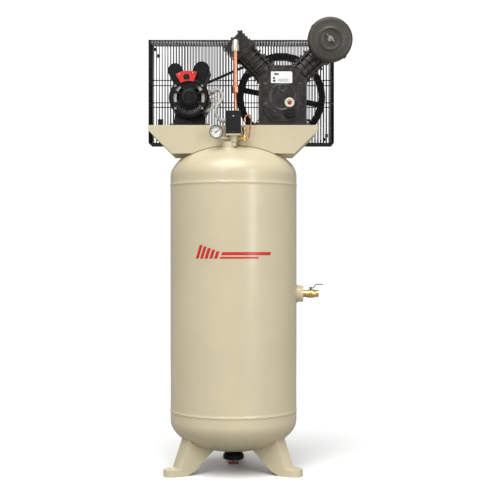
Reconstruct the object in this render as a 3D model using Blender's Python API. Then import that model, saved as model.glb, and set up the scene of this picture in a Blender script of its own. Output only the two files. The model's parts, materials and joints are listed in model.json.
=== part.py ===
"""Vertical tank compressor: receiver on three legs, deck, V-twin pump, motor and belt drive.

Metres, +Z up. The origin is on the floor under the tank's axis, and the front is -Y.
"""
import math

import bmesh
import bpy
from mathutils import Matrix, Vector

# ---- driving dimensions ----
GAP = 0.0003                    # clearance between pieces that touch
RUN = 0.0003                    # radial clearance of a turning or sliding fit

TANK_R = 0.254
TANK_WALL = 0.0035
TANK_LOW = 0.204                # lower tangent line of the shell
TANK_HIGH = 1.175               # upper tangent line of the shell
HEAD_DEPTH = 0.127              # a 2:1 elliptical head
TANK_STEPS = 30
HEAD_RINGS = 5

LEG_HALF_WIDTH = 0.0345
LEG_SHEET = 0.004
LEG_REACH = 0.308
LEG_PAD_TOP = 0.028

DECK_TOP = 1.369
DECK_SHEET = 0.003
DECK_HALF_LENGTH = 0.332
DECK_HALF_DEPTH = 0.115
APRON_LOW = 1.257

CRANK_X = 0.195
CRANK_Z = 1.515
CRANK_THROW = 0.032
ROD_LENGTH = 0.145
BORE_R = 0.038
PIN_R = 0.0080                  # wrist pin
CRANKPIN_R = 0.0160
BANK_Y = {"left": -0.036, "right": -0.015}
BARREL_LOW = 0.0863             # distances along a cylinder's axis from the crank axis
BARREL_HIGH = 0.205
PLATE_HIGH = 0.2141
HEAD_HIGH = 0.280
PORT_AT = 0.257                 # a head's front port, along the cylinder's axis
PORT_ASIDE = {"left": -0.006, "right": 0.0}
HEAD_FRONT = 0.049              # half a head's depth, front to back
CASE_FRONT = -0.090
CASE_BACK = 0.070

FLYWHEEL_R = 0.184
FLYWHEEL_Y = 0.170
WHEEL_HALF_WIDTH = 0.018
PULLEY_R = 0.070
SHAFT_R = 0.0175

MOTOR_X = -0.173
MOTOR_Z = 1.477
MOTOR_R = 0.079
MOTOR_SEAT = MOTOR_R + 0.0006   # what fits round the motor's shell
MOTOR_SHAFT_R = 0.0095

GUARD_X = (-0.348, 0.408)
GUARD_Z = (1.322, 1.745)
GUARD_Y = (0.1185, 0.271)

MANIFOLD_X = 0.002
MANIFOLD_Y = -0.150
CHECK_X = 0.006
CHECK_Y = -0.090
OUTLET_Z = 0.705

for old in list(bpy.data.objects):
    bpy.data.objects.remove(old, do_unlink=True)

PAINTS = {
    "cream": ((0.80, 0.74, 0.55), 0.35, 0.0),
    "black": ((0.02, 0.02, 0.02), 0.45, 0.0),
    "cast": ((0.10, 0.09, 0.08), 0.60, 0.3),
    "steel": ((0.62, 0.62, 0.60), 0.32, 1.0),
    "aluminium": ((0.72, 0.72, 0.70), 0.40, 1.0),
    "copper": ((0.80, 0.36, 0.20), 0.28, 1.0),
    "brass": ((0.78, 0.58, 0.28), 0.30, 1.0),
    "rubber": ((0.03, 0.03, 0.03), 0.80, 0.0),
    "red": ((0.80, 0.05, 0.03), 0.40, 0.0),
    "white": ((0.90, 0.90, 0.88), 0.35, 0.0),
    "paper": ((0.78, 0.72, 0.55), 0.90, 0.0),
    "glass": ((0.75, 0.45, 0.30), 0.10, 0.0),
    "grey": ((0.45, 0.45, 0.44), 0.50, 0.0),
}


def paint(obj, colour):
    """Give an object a Principled material of its own."""
    rgb, roughness, metallic = PAINTS[colour]
    material = bpy.data.materials.new(obj.name)
    material.use_nodes = True
    shader = material.node_tree.nodes["Principled BSDF"]
    shader.inputs["Base Color"].default_value = (*rgb, 1.0)
    shader.inputs["Roughness"].default_value = roughness
    shader.inputs["Metallic"].default_value = metallic
    obj.data.materials.clear()
    obj.data.materials.append(material)


def place(name, bm, matrix, colour):
    """Turn a bmesh in local coordinates into a named object at a place."""
    bmesh.ops.recalc_face_normals(bm, faces=bm.faces)
    mesh = bpy.data.meshes.new(name)
    bm.to_mesh(mesh)
    bm.free()
    mesh.shade_smooth()
    mesh.set_sharp_from_angle(angle=math.radians(35))
    obj = bpy.data.objects.new(name, mesh)
    bpy.context.collection.objects.link(obj)
    obj.matrix_world = matrix
    paint(obj, colour)
    return obj


def frame(origin, axis=(0, 0, 1), side=(1, 0, 0)):
    """A placement whose local Z is the axis and whose local X is near the side."""
    z = Vector(axis).normalized()
    x = Vector(side)
    if abs(z.dot(x)) > 0.99:
        x = Vector((0, 1, 0))
    x = (x - z * x.dot(z)).normalized()
    y = z.cross(x)
    matrix = Matrix((x, y, z)).transposed().to_4x4()
    matrix.translation = Vector(origin)
    return matrix


def turned(bm, profile, steps=24, start=0.0):
    """Turn a closed outline of (radius, height) points about local Z."""
    rings = []
    for radius, height in profile:
        if radius <= 0:
            rings.append([bm.verts.new((0, 0, height))])
            continue
        ring = []
        for i in range(steps):
            a = start + 2 * math.pi * i / steps
            ring.append(bm.verts.new((radius * math.cos(a), radius * math.sin(a), height)))
        rings.append(ring)
    for low, high in zip(rings, rings[1:] + rings[:1]):
        if len(low) == 1 and len(high) == 1:
            continue
        for i in range(steps):
            j = (i + 1) % steps
            corners = [low[i % len(low)], low[j % len(low)], high[j % len(high)], high[i % len(high)]]
            bm.faces.new(list(dict.fromkeys(corners)))


def extruded(bm, outline, low, high):
    """Extrude a closed (x, y) outline along local Z."""
    bottom = [bm.verts.new((x, y, low)) for x, y in outline]
    top = [bm.verts.new((x, y, high)) for x, y in outline]
    bm.faces.new(bottom[::-1])
    bm.faces.new(top)
    count = len(outline)
    for i in range(count):
        j = (i + 1) % count
        bm.faces.new((bottom[i], bottom[j], top[j], top[i]))


def block(bm, low, high):
    """A box between two corners."""
    outline = [(low[0], low[1]), (high[0], low[1]), (high[0], high[1]), (low[0], high[1])]
    extruded(bm, outline, low[2], high[2])


def arc(cx, cy, radius, first, last, steps):
    """Points on a round stretch, angles in degrees, both ends included."""
    points = []
    for i in range(steps + 1):
        a = math.radians(first + (last - first) * i / steps)
        points.append((cx + radius * math.cos(a), cy + radius * math.sin(a)))
    return points


def swept(bm, route, radius, steps=10):
    """A round bar along a list of points, with one radius or a radius for each point."""
    points = [Vector(p) for p in route]
    radii = radius if isinstance(radius, list) else [radius] * len(points)
    side = None
    rings = []
    for i, point in enumerate(points):
        before = points[max(i - 1, 0)]
        after = points[min(i + 1, len(points) - 1)]
        along = (after - before).normalized()
        if side is None:
            side = along.orthogonal().normalized()
        side = (side - along * side.dot(along)).normalized()
        other = along.cross(side)
        ring = []
        for k in range(steps):
            a = 2 * math.pi * k / steps
            ring.append(bm.verts.new(point + (side * math.cos(a) + other * math.sin(a)) * radii[i]))
        rings.append(ring)
    for low, high in zip(rings, rings[1:]):
        for k in range(steps):
            j = (k + 1) % steps
            bm.faces.new((low[k], low[j], high[j], high[k]))
    bm.faces.new(rings[0][::-1])
    bm.faces.new(rings[-1])


def rounded(route, radius, steps=5):
    """Round the corners of a route with arcs that touch both runs."""
    points = [Vector(p) for p in route]
    result = [points[0]]
    for before, corner, after in zip(points, points[1:], points[2:]):
        a = (before - corner).normalized()
        b = (after - corner).normalized()
        half = a.angle(b) / 2
        reach = radius / math.tan(half)
        centre = corner + (a + b).normalized() * (radius / math.sin(half))
        first = (corner + a * reach - centre).normalized()
        last = (corner + b * reach - centre).normalized()
        for i in range(steps + 1):
            result.append(centre + first.slerp(last, i / steps) * radius)
    result.append(points[-1])
    return result


def solid(name, colour, matrix, maker, *args, **kwargs):
    """One object from one maker function."""
    bm = bmesh.new()
    maker(bm, *args, **kwargs)
    return place(name, bm, matrix, colour)


def cut(obj, *tools, operation="DIFFERENCE"):
    """Apply Boolean cuts or unions, and remove the tools."""
    for tool in tools:
        step = obj.modifiers.new("cut", "BOOLEAN")
        step.operation = operation
        step.solver = "EXACT"
        step.object = tool
    bpy.context.view_layer.update()
    graph = bpy.context.evaluated_depsgraph_get()
    mesh = bpy.data.meshes.new_from_object(obj.evaluated_get(graph))
    obj.modifiers.clear()
    old = obj.data
    obj.data = mesh
    mesh.name = obj.name
    bpy.data.meshes.remove(old)
    for tool in tools:
        bpy.data.objects.remove(tool, do_unlink=True)
    while len(obj.data.materials) > 1:
        obj.data.materials.pop()
    obj.data.shade_smooth()
    obj.data.set_sharp_from_angle(angle=math.radians(35))
    return obj


def join(obj, *tools):
    """Boolean union."""
    return cut(obj, *tools, operation="UNION")


def rod(matrix, radius, low, high, steps=16):
    """A plain round tool along local Z."""
    return solid("tool", "steel", matrix, turned, [(0, low), (radius, low), (radius, high), (0, high)],
                 steps=steps)


def bore_for(shaft, steps):
    """Corner radius of a many-sided bore whose flats clear a shaft."""
    return (shaft + RUN) / math.cos(math.pi / steps)


def ring_profile(inner, outer, low, high):
    return [(inner, low), (outer, low), (outer, high), (inner, high)]


UP = Matrix.Identity(4)


def fore(x, z, y=0.0):
    """A placement facing the front: local X is +X, local Y is +Z and local Z is -Y."""
    return frame((x, y, z), axis=(0, -1, 0), side=(1, 0, 0))


# ---- receiver ----
def head_z(radius, shell=TANK_R, depth=HEAD_DEPTH):
    """Height of a head's surface above its tangent line."""
    return depth * math.sqrt(max(0.0, 1 - (radius / shell) ** 2))


def head_outline(tangent, sign, hole, offset=0.0, steps=HEAD_RINGS):
    """Closed outline of a dished head, from its rim to its centre hole."""
    outer = []
    inner = []
    last = math.acos(max(hole, 0.0) / TANK_R)
    for i in range(steps + 1):
        a = last * i / steps
        outer.append(((TANK_R + offset) * math.cos(a), tangent + sign * (HEAD_DEPTH + offset) * math.sin(a)))
    for i in range(4):
        a = last * i / 3
        inner.append(((TANK_R - TANK_WALL) * math.cos(a), tangent + sign * (HEAD_DEPTH - TANK_WALL) * math.sin(a)))
    if hole <= 0:
        outer[-1] = (0, outer[-1][1])
        inner[-1] = (0, inner[-1][1])
    return outer + inner[::-1]


def head_cutter(tangent, sign, end):
    """A solid a little larger than the tank's end, to trim what rests on it."""
    outline = head_outline(tangent, sign, 0, offset=0.0008)[:HEAD_RINGS + 1]
    return solid("tool", "steel", UP, turned, [(0, end), (TANK_R + 0.0008, end), *outline], steps=TANK_STEPS)


SIDE_BOSS_R = 0.033


def welded_boss(head, x, y, inner, outer, low, high):
    """Weld a threaded boss into a head, with a bore right through."""
    spot = frame((x, y, 0))
    cut(head, rod(spot, (inner + outer) / 2, low - 0.02, high + 0.1, steps=12))
    return join(head, solid("tool", "cream", spot, turned, ring_profile(inner, outer, low, high), steps=12))


def receiver():
    shell = ring_profile(TANK_R - TANK_WALL, TANK_R, TANK_LOW + GAP / 2, TANK_HIGH - GAP / 2)
    tank = solid("tank_shell", "cream", UP, turned, shell, steps=TANK_STEPS)
    outlet = frame((0, 0, OUTLET_Z), axis=(1, 0, 0))
    cut(tank, rod(outlet, 0.020, 0.2, 0.3, steps=14))
    side = [(0.0125, 0.246), (SIDE_BOSS_R, 0.246), (SIDE_BOSS_R, 0.276), (0.030, 0.279), (0.0125, 0.279)]
    join(tank, solid("tool", "cream", outlet, turned, side, steps=16))
    top = solid("tank_head_top", "cream", UP, turned, head_outline(TANK_HIGH + GAP / 2, 1, 0), steps=TANK_STEPS)
    welded_boss(top, MANIFOLD_X, MANIFOLD_Y, 0.0125, 0.022, 1.262, 1.2997)
    welded_boss(top, CHECK_X, CHECK_Y, 0.0095, 0.016, 1.280, 1.308)
    low = head_outline(TANK_LOW - GAP / 2, -1, 0.0085)
    solid("tank_head_bottom", "cream", UP, turned, low, steps=TANK_STEPS)


def leg(name, degrees):
    """A pressed channel leg, open underneath, that fits the bottom head."""
    turn = Matrix.Rotation(math.radians(degrees), 4, "Z")
    across = turn @ frame((0, 0, 0), axis=(0, -1, 0), side=(1, 0, 0))

    def body(inset):
        half = LEG_HALF_WIDTH - inset
        low = 0.0 if inset == 0 else -0.02
        top = LEG_PAD_TOP - inset
        side = [(0.104, 0.150), (0.104, 0.094 - inset), (0.188, 0.018 - inset), (0.224, low), (LEG_REACH + 0.01, low),
                (LEG_REACH + 0.01, top), (0.254 - inset, top), (0.213 - inset, 0.141), (0.210 - inset, 0.150)]
        piece = solid(name, "cream", across, extruded, side[::-1], -half, half)
        radius = half
        centre = LEG_REACH - LEG_HALF_WIDTH
        plan = [(0.09, -half), *arc(centre, 0, radius, -90, 90, 8), (0.09, half)]
        trim = solid("tool", "cream", turn, extruded, plan, -0.05, 0.16)
        return cut(piece, trim, operation="INTERSECT")

    outer = body(0.0)
    cut(outer, body(LEG_SHEET), head_cutter(TANK_LOW - GAP / 2, -1, 0.3))
    hole = rod(turn @ frame((0.280, 0, 0)), 0.007, -0.01, 0.05, steps=12)
    return cut(outer, hole)


def deck():
    """Folded deck plate whose aprons follow the top head."""
    back = DECK_HALF_DEPTH - DECK_SHEET
    shoulder = 1.348                # an apron's outer corners
    foot = 0.240                    # half the width of its lowest edge
    reach = math.sqrt(max(0.0, TANK_R ** 2 * (1 - ((APRON_LOW - TANK_HIGH) / HEAD_DEPTH) ** 2) - back ** 2))
    arch = []
    count = 14
    for i in range(count + 1):
        x = reach * (1 - 2 * i / count)
        arch.append((x, TANK_HIGH + head_z(math.hypot(x, back)) + 0.0012))
    half = DECK_HALF_LENGTH
    apron = [(half, DECK_TOP), (-half, DECK_TOP), (-half, shoulder), (-foot, APRON_LOW), *arch[::-1],
             (foot, APRON_LOW), (half, shoulder)]
    plate = solid("deck", "cream", UP, block, (-half, -DECK_HALF_DEPTH, DECK_TOP - DECK_SHEET),
                  (half, DECK_HALF_DEPTH, DECK_TOP))
    front = solid("tool", "cream", fore(0, 0), extruded, apron, back, DECK_HALF_DEPTH)
    rear = solid("tool", "cream", fore(0, 0), extruded, apron, -DECK_HALF_DEPTH, -back)
    join(plate, front, rear)
    cut(plate, rod(frame((CHECK_X, CHECK_Y, 0)), 0.011, 1.3, 1.4, steps=16))


receiver()
for leg_name, leg_turn in (("leg_left", 210), ("leg_right", 330), ("leg_rear", 90)):
    leg(leg_name, leg_turn)
deck()


# ---- pump ----
BANKS = {"left": Vector((-1, 0, 1)).normalized(), "right": Vector((1, 0, 1)).normalized()}
COVER_FACE = -CASE_FRONT + GAP + 0.010
PUMP = fore(CRANK_X, CRANK_Z)


def bank_plane(side):
    """Local X across the cylinder, local Y along it, local Z to the front."""
    d = BANKS[side]
    return frame((CRANK_X, BANK_Y[side], CRANK_Z), axis=(0, -1, 0), side=(d.z, 0, -d.x))


def bank_axis(side):
    """Local Z along the cylinder."""
    return frame((CRANK_X, BANK_Y[side], CRANK_Z), axis=BANKS[side], side=(0, 1, 0))


def crankcase():
    half = 0.091
    notch = 0.0306
    foot = DECK_TOP + GAP - CRANK_Z
    outer = [(-half, foot), (half, foot), (half, notch), (notch, half), (-notch, half), (-half, notch)]
    inner = [(-0.082, -0.134), (0.082, -0.134), (0.082, 0.027), (0.027, 0.082), (-0.027, 0.082), (-0.082, 0.027)]
    case = solid("crankcase", "cast", PUMP, extruded, outer, -CASE_BACK, -CASE_FRONT)
    cut(case, solid("tool", "cast", PUMP, extruded, inner, -0.060, 0.081))
    cut(case, rod(PUMP, 0.0405, -0.080, -0.050, steps=14))
    housing = ring_profile(0.0363, 0.045, -0.095, -0.040)
    join(case, solid("tool", "cast", PUMP, turned, housing, steps=14))
    cut(case, rod(fore(CRANK_X - 0.003, CRANK_Z - 0.025), 0.066, 0.070, 0.100, steps=16))
    for side in BANKS:
        cut(case, rod(bank_axis(side), 0.0405, 0.060, 0.100, steps=14))
    bearing = ring_profile(bore_for(SHAFT_R, 14), 0.0352, -0.089, -0.044)
    solid("crank_bearing", "steel", PUMP, turned, bearing, steps=14)


def crankcase_cover():
    outline = [(-0.078, -0.085), (-0.045, -0.128), (0.045, -0.128), (0.078, -0.085), (0.078, 0.030),
               (0.040, 0.080), (-0.040, 0.080), (-0.078, 0.030)]
    back = -CASE_FRONT + GAP
    cover = solid("crankcase_cover", "cast", PUMP, extruded, outline, back, COVER_FACE)
    join(cover, rod(PUMP, 0.018, back + 0.002, COVER_FACE + 0.004, steps=16))
    sight = fore(CRANK_X + 0.026, CRANK_Z - 0.0565)
    face = COVER_FACE + GAP
    eye = [(0, face), (0.0195, face), (0.0195, face + 0.007), (0.0136, face + 0.007), (0.0132, face + 0.004),
           (0, face + 0.005)]
    solid("oil_sight_glass", "glass", sight, turned, eye, steps=16)
    solid("oil_filler_cap", "black", fore(CRANK_X + 0.028, CRANK_Z - 0.0965), turned,
          [(0, COVER_FACE + GAP), (0.0165, COVER_FACE + GAP), (0.0165, COVER_FACE + 0.004),
           (0.0195, COVER_FACE + 0.005), (0.0195, COVER_FACE + 0.015), (0.017, COVER_FACE + 0.018),
           (0, COVER_FACE + 0.018)], steps=16)


def cylinder(side):
    """Finned barrel, open at both ends."""
    fin_r = 0.054
    core_r = 0.0445
    collar_low = 0.1975
    outline = [(BORE_R, BARREL_LOW), (0.0425, BARREL_LOW), (0.0425, BARREL_LOW + 0.008)]
    outline.append((core_r, BARREL_LOW + 0.010))
    fins = 4
    pitch = 0.0230
    for i in range(fins):
        low = 0.1035 + i * pitch
        outline += [(core_r, low), (fin_r, low + 0.0006), (fin_r, low + 0.0036), (core_r, low + 0.0042)]
    outline += [(core_r, collar_low), (0.051, collar_low), (0.051, BARREL_HIGH), (BORE_R, BARREL_HIGH)]
    solid("cylinder_" + side, "cast", bank_axis(side), turned, outline, steps=14)


def cylinder_head(side):
    """Valve plate and finned head with two chambers."""
    plane = bank_plane(side)
    half = 0.051
    plate = solid("valve_plate_" + side, "steel", plane, block, (-half, BARREL_HIGH + GAP, -half),
                  (half, PLATE_HIGH - GAP, half))
    for across in (-0.020, 0.022):
        cut(plate, rod(bank_axis(side) @ Matrix.Translation((0, across, 0)), 0.007, 0.19, 0.23, steps=10))
    fin = 0.0495
    core = 0.044
    flange_high = 0.223
    cap_low = 0.2725
    right = [(half, PLATE_HIGH), (half, flange_high), (core, flange_high)]
    for low in (0.2300, 0.2445, 0.2590):
        right += [(core, low), (fin, low), (fin, low + 0.0035), (core, low + 0.0035)]
    right += [(core, cap_low), (fin, cap_low), (fin, HEAD_HIGH)]
    outline = right + [(-x, s) for x, s in right[::-1]]
    head = solid("cylinder_head_" + side, "cast", plane, extruded, outline, -HEAD_FRONT, HEAD_FRONT)
    wall = 0.004 if side == "left" else 0.009       # the rib between the two chambers starts here
    for low, high in ((-0.038, wall), (wall + 0.006, 0.038)):
        chamber = (low, PLATE_HIGH - 0.004, -0.041), (high, cap_low - 0.005, 0.041)
        cut(head, solid("tool", "cast", plane, block, *chamber))
    port = plane @ Matrix.Translation((PORT_ASIDE[side], PORT_AT, 0))
    cut(head, rod(port, 0.0075, 0.035, 0.060, steps=12))


def port_place(side):
    """World place of a head's front port."""
    return bank_plane(side) @ Vector((PORT_ASIDE[side], PORT_AT, HEAD_FRONT))


def running_gear(side):
    """Piston, and the connecting rod with the wrist pin pressed into it."""
    plane = bank_plane(side)
    lean = CRANK_THROW * math.sqrt(0.5) * (1 if side == "left" else -1)
    pin_at = abs(lean) + math.sqrt(ROD_LENGTH ** 2 - lean ** 2)
    slide = bank_axis(side) @ Matrix.Translation((0, 0, pin_at))
    outline = [(0.0375, -0.025), (0.0375, 0.0155), (0.0350, 0.0155), (0.0350, 0.0183), (0.0375, 0.0183),
               (0.0375, 0.022), (0, 0.022), (0, 0.0145), (0.031, 0.0145), (0.031, -0.025)]
    piston = solid("piston_" + side, "aluminium", slide, turned, outline, steps=14)
    pin = plane @ Matrix.Translation((0, pin_at, 0))
    cut(piston, rod(pin, PIN_R + RUN, -0.05, 0.05, steps=12))
    aim = math.degrees(math.atan2(pin_at - abs(lean), -lean))
    outline = arc(lean, abs(lean), 0.021, aim + 26, aim + 334, 12) + arc(0, pin_at, 0.013, aim - 136, aim + 136, 8)
    link = solid("connecting_rod_" + side, "aluminium", plane, extruded, outline, -0.009, 0.009)
    cut(link, rod(plane @ Matrix.Translation((lean, abs(lean), 0)), CRANKPIN_R + RUN, -0.02, 0.02, steps=16))
    join(link, rod(pin, PIN_R, -0.0345, 0.0345, steps=12))


def crankshaft():
    web = arc(0, CRANK_THROW, 0.020, 0, 180, 6) + arc(0, 0, 0.050, 195, 345, 8)
    shaft = solid("crankshaft", "steel", PUMP, extruded, web, -0.020, -0.002)
    join(shaft, rod(PUMP, SHAFT_R, -0.206, -0.012, steps=20))
    join(shaft, rod(fore(CRANK_X, CRANK_Z + CRANK_THROW), CRANKPIN_R, -0.010, 0.003, steps=16))


def grooved_rim(inner, outer):
    """Outline of a wheel rim with one belt groove."""
    w = WHEEL_HALF_WIDTH
    return [(inner, -w), (outer, -w), (outer, -0.007), (outer - 0.011, -0.004), (outer - 0.011, 0.004),
            (outer, 0.007), (outer, w), (inner, w)]


def flywheel():
    centre = fore(CRANK_X, CRANK_Z, FLYWHEEL_Y)
    wheel = solid("flywheel", "black", centre, turned, grooved_rim(0.156, FLYWHEEL_R), steps=26)
    hub = solid("tool", "black", centre, turned, ring_profile(bore_for(SHAFT_R, 14), 0.034, -0.020, 0.020), steps=14)
    spokes = []
    for i in range(6):
        turn = Matrix.Rotation(math.radians(-11 + 60 * i), 4, "Z")
        spokes.append(solid("tool", "black", centre @ turn, block, (0.025, -0.011, -0.007), (0.162, 0.011, 0.007)))
    join(wheel, hub, *spokes)


def drive_belt():
    """V-belt round the flywheel and the motor pulley."""
    reach = math.hypot(MOTOR_X - CRANK_X, MOTOR_Z - CRANK_Z)
    toward = math.atan2(MOTOR_Z - CRANK_Z, MOTOR_X - CRANK_X)
    open_angle = math.acos((FLYWHEEL_R - PULLEY_R) / reach)
    stations = []
    for i in range(25):
        a = toward + open_angle + (2 * math.pi - 2 * open_angle) * i / 24
        stations.append((CRANK_X, CRANK_Z, FLYWHEEL_R, a))
    for i in range(15):
        a = toward - open_angle + 2 * open_angle * i / 14
        stations.append((MOTOR_X, MOTOR_Z, PULLEY_R, a))
    bm = bmesh.new()
    loops = []
    for x, z, radius, a in stations:
        loop = []
        for drop, half in ((-0.0002, 0.0064), (0.0096, 0.0037)):
            for side in (-half, half) if drop < 0 else (half, -half):
                r = radius - drop
                loop.append(bm.verts.new((x + r * math.cos(a), FLYWHEEL_Y + side, z + r * math.sin(a))))
        loops.append(loop)
    for near, far in zip(loops, loops[1:] + loops[:1]):
        for k in range(4):
            j = (k + 1) % 4
            bm.faces.new((near[k], near[j], far[j], far[k]))
    place("drive_belt", bm, UP, "rubber")


crankcase()
crankcase_cover()
for bank in BANKS:
    cylinder(bank)
    cylinder_head(bank)
    running_gear(bank)
crankshaft()
flywheel()
drive_belt()


# ---- motor ----
MOTOR = fore(MOTOR_X, MOTOR_Z)
BUTTON = fore(MOTOR_X - 0.0086, MOTOR_Z + 0.0777)
MOTOR_BORE = MOTOR_SHAFT_R + 0.0004


def motor():
    shell = [(MOTOR_BORE, -0.105), (0.060, -0.105), (MOTOR_R, -0.090), (MOTOR_R, 0.085), (0.0745, 0.085),
             (0.0745, -0.088), (0.058, -0.100), (0.016, -0.100), (0.016, -0.085), (MOTOR_BORE, -0.085)]
    solid("motor_shell", "black", MOTOR, turned, shell, steps=20)
    front = [(0, 0.130), (0.052, 0.130), (0.072, 0.122), (MOTOR_R, 0.108), (MOTOR_R, 0.085 + GAP),
             (0.0745, 0.085 + GAP), (0.0745, 0.106), (0.050, 0.1245), (0.016, 0.1245),
             (0.016, 0.108), (MOTOR_BORE, 0.108), (MOTOR_BORE, 0.1245), (0, 0.1245)]
    solid("motor_bell_front", "black", MOTOR, turned, front, steps=20)
    solid("motor_stator", "steel", MOTOR, turned, ring_profile(0.044, 0.0725, -0.045, 0.050), steps=16)
    rotor = [(0, -0.195), (MOTOR_SHAFT_R, -0.195), (MOTOR_SHAFT_R, -0.045), (0.043, -0.045), (0.043, 0.050),
             (MOTOR_SHAFT_R, 0.050), (MOTOR_SHAFT_R, 0.120), (0, 0.120)]
    solid("motor_rotor", "steel", MOTOR, turned, rotor, steps=14)
    solid("motor_pulley", "black", fore(MOTOR_X, MOTOR_Z, FLYWHEEL_Y), turned,
          grooved_rim(bore_for(MOTOR_SHAFT_R, 18), PULLEY_R), steps=18)


def capacitor_covers():
    """Two domed covers that stand on the motor's shoulders."""
    for side, x, z, radius in (("left", -0.055, 0.109, 0.029), ("right", 0.049, 0.114, 0.031)):
        aim = math.degrees(math.atan2(z, x))
        outline = arc(x, z, radius, aim - 90, aim + 90, 8)
        for px, pz in (outline[-1], outline[0]):
            outline.append((px - 0.55 * x, pz - 0.55 * z))
        cover = solid("capacitor_cover_" + side, "black", MOTOR, extruded, outline, -0.055, 0.095)
        cut(cover, rod(MOTOR, MOTOR_SEAT, -0.08, 0.12, steps=20))


def terminal_cover():
    """Curved plate with the reset button's hole."""
    face = arc(0, 0, 0.102, 72, 120, 6) + arc(0, 0, 0.062, 120, 72, 6)
    body = arc(0, 0, 0.102, 72, 120, 6) + arc(0, 0, 0.0806, 120, 72, 6)
    cover = solid("terminal_cover", "red", MOTOR, extruded, face, 0.1305, 0.1345)
    join(cover, solid("tool", "red", MOTOR, extruded, body, 0.0955, 0.1325))
    cut(cover, rod(BUTTON, 0.0090, 0.1236, 0.150, steps=14))
    solid("reset_button", "black", BUTTON, turned, [(0, 0.1276), (0.0085, 0.1276), (0.0085, 0.1375), (0.007, 0.1390),
                                                    (0, 0.1390)], steps=14)


def motor_base():
    """Slide base with two cradles under the motor."""
    floor = DECK_TOP + GAP - MOTOR_Z
    base = solid("motor_base", "black", MOTOR, block, (-0.078, floor, -0.095), (0.078, floor + 0.005, 0.100))
    for low in (-0.056, 0.069):
        cradle = [(-0.062, floor + 0.004), (0.062, floor + 0.004), (0.056, -0.048), (-0.056, -0.048)]
        join(base, solid("tool", "black", MOTOR, extruded, cradle, low, low + 0.006))
    cut(base, rod(MOTOR, MOTOR_SEAT, -0.11, 0.12, steps=20))


# ---- belt guard ----
WIRE = 0.00125
GUARD_GAPS = 12
SHAFT_CLEAR = 0.030


def lattice(bm, xs, ys, zs, filled):
    """One body made of the filled cells of a grid of planes."""
    sizes = (len(xs) - 1, len(ys) - 1, len(zs) - 1)
    points = {}

    def corner(i, j, k):
        if (i, j, k) not in points:
            points[(i, j, k)] = bm.verts.new((xs[i], ys[j], zs[k]))
        return points[(i, j, k)]

    def solid_at(cell):
        return all(0 <= c < n for c, n in zip(cell, sizes)) and filled(*cell)

    for i in range(sizes[0]):
        for j in range(sizes[1]):
            for k in range(sizes[2]):
                if not filled(i, j, k):
                    continue
                for axis in range(3):
                    for step in (0, 1):
                        beside = [i, j, k]
                        beside[axis] += 2 * step - 1
                        if solid_at(beside):
                            continue
                        base = [i, j, k]
                        base[axis] += step
                        loop = []
                        for u, v in ((0, 0), (1, 0), (1, 1), (0, 1)):
                            at = list(base)
                            at[(axis + 1) % 3] += u
                            at[(axis + 2) % 3] += v
                            loop.append(corner(*at))
                        bm.faces.new(loop)


def edges_of(centres):
    """The two faces of each wire in a row of wires."""
    return [c + side * WIRE for c in centres for side in (-1, 1)]


def guard_wires():
    low, high = GUARD_X
    return [low + (high - low) * i / GUARD_GAPS for i in range(GUARD_GAPS + 1)]


def guard_panel(bm, y, pierced):
    wires = [x for x in guard_wires() if not (pierced and abs(x - CRANK_X) < SHAFT_CLEAR)]
    lattice(bm, edges_of(wires), [y - WIRE, y + WIRE], edges_of(GUARD_Z),
            lambda i, j, k: i % 2 == 0 or k % 2 == 0)


def guard_returns(bm):
    """Two rectangular hoops joined by wires along the guard's edges."""
    wires = guard_wires()[::2]
    rails = (GUARD_Z[0], 1.487, 1.579, GUARD_Z[1])
    hoops = (GUARD_Y[0] + 2 * WIRE + GAP, GUARD_Y[1] - 2 * WIRE - GAP)
    last = 2 * len(wires) - 2
    top = 2 * len(rails) - 2

    def filled(i, j, k):
        edge = i in (0, last) or k in (0, top)
        across = i % 2 == 0 and k % 2 == 0
        return edge and (j != 1 or across)

    lattice(bm, edges_of(wires), edges_of(hoops), edges_of(rails), filled)


def belt_guard():
    solid("belt_guard_front", "black", UP, guard_panel, GUARD_Y[0], True)
    solid("belt_guard_rear", "black", UP, guard_panel, GUARD_Y[1], False)
    solid("belt_guard_returns", "black", UP, guard_returns)


# ---- intake filter ----
FILTER_R = 0.0875


def intake_filter():
    port = port_place("right")
    place_at = fore(port.x, port.z)
    start = -port.y + GAP
    pan = [(0.0078, start), (0.0115, start), (0.0115, 0.112), (0.080, 0.112), (0.080, 0.126), (0.078, 0.126),
           (0.078, 0.1145), (0.0078, 0.1145)]
    solid("filter_pan", "black", place_at, turned, pan, steps=18)
    solid("filter_element", "paper", place_at, turned, ring_profile(0.050, 0.070, 0.1148, 0.156), steps=14)
    rim = FILTER_R - 0.002
    cover = [(0.0036, 0.167), (0.0036, 0.170), (0.040, 0.170), (0.044, 0.173), (0.072, 0.171), (FILTER_R, 0.162),
             (FILTER_R, 0.129), (rim, 0.129), (rim, 0.160), (0.071, 0.168), (0.044, 0.1695), (0.040, 0.167)]
    solid("filter_cover", "black", place_at, turned, cover, steps=18)
    nut = solid("filter_wing_nut", "steel", place_at, turned,
                [(0, 0.116), (0.003, 0.116), (0.003, 0.171), (0.007, 0.171), (0.006, 0.181), (0, 0.181)], steps=10)
    tilt = Matrix.Rotation(math.radians(-45), 4, "Z")
    wing = [(-0.022, 0.178), (-0.020, 0.186), (-0.012, 0.186), (-0.004, 0.1765), (0.004, 0.1765), (0.012, 0.186),
            (0.020, 0.186), (0.022, 0.178), (0.012, 0.1725), (-0.012, 0.1725)]
    lay = place_at @ tilt @ Matrix.Rotation(math.radians(90), 4, "X")
    join(nut, solid("tool", "steel", lay, extruded, wing, -0.0015, 0.0015))


motor()
capacitor_covers()
terminal_cover()
motor_base()
belt_guard()
intake_filter()


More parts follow.
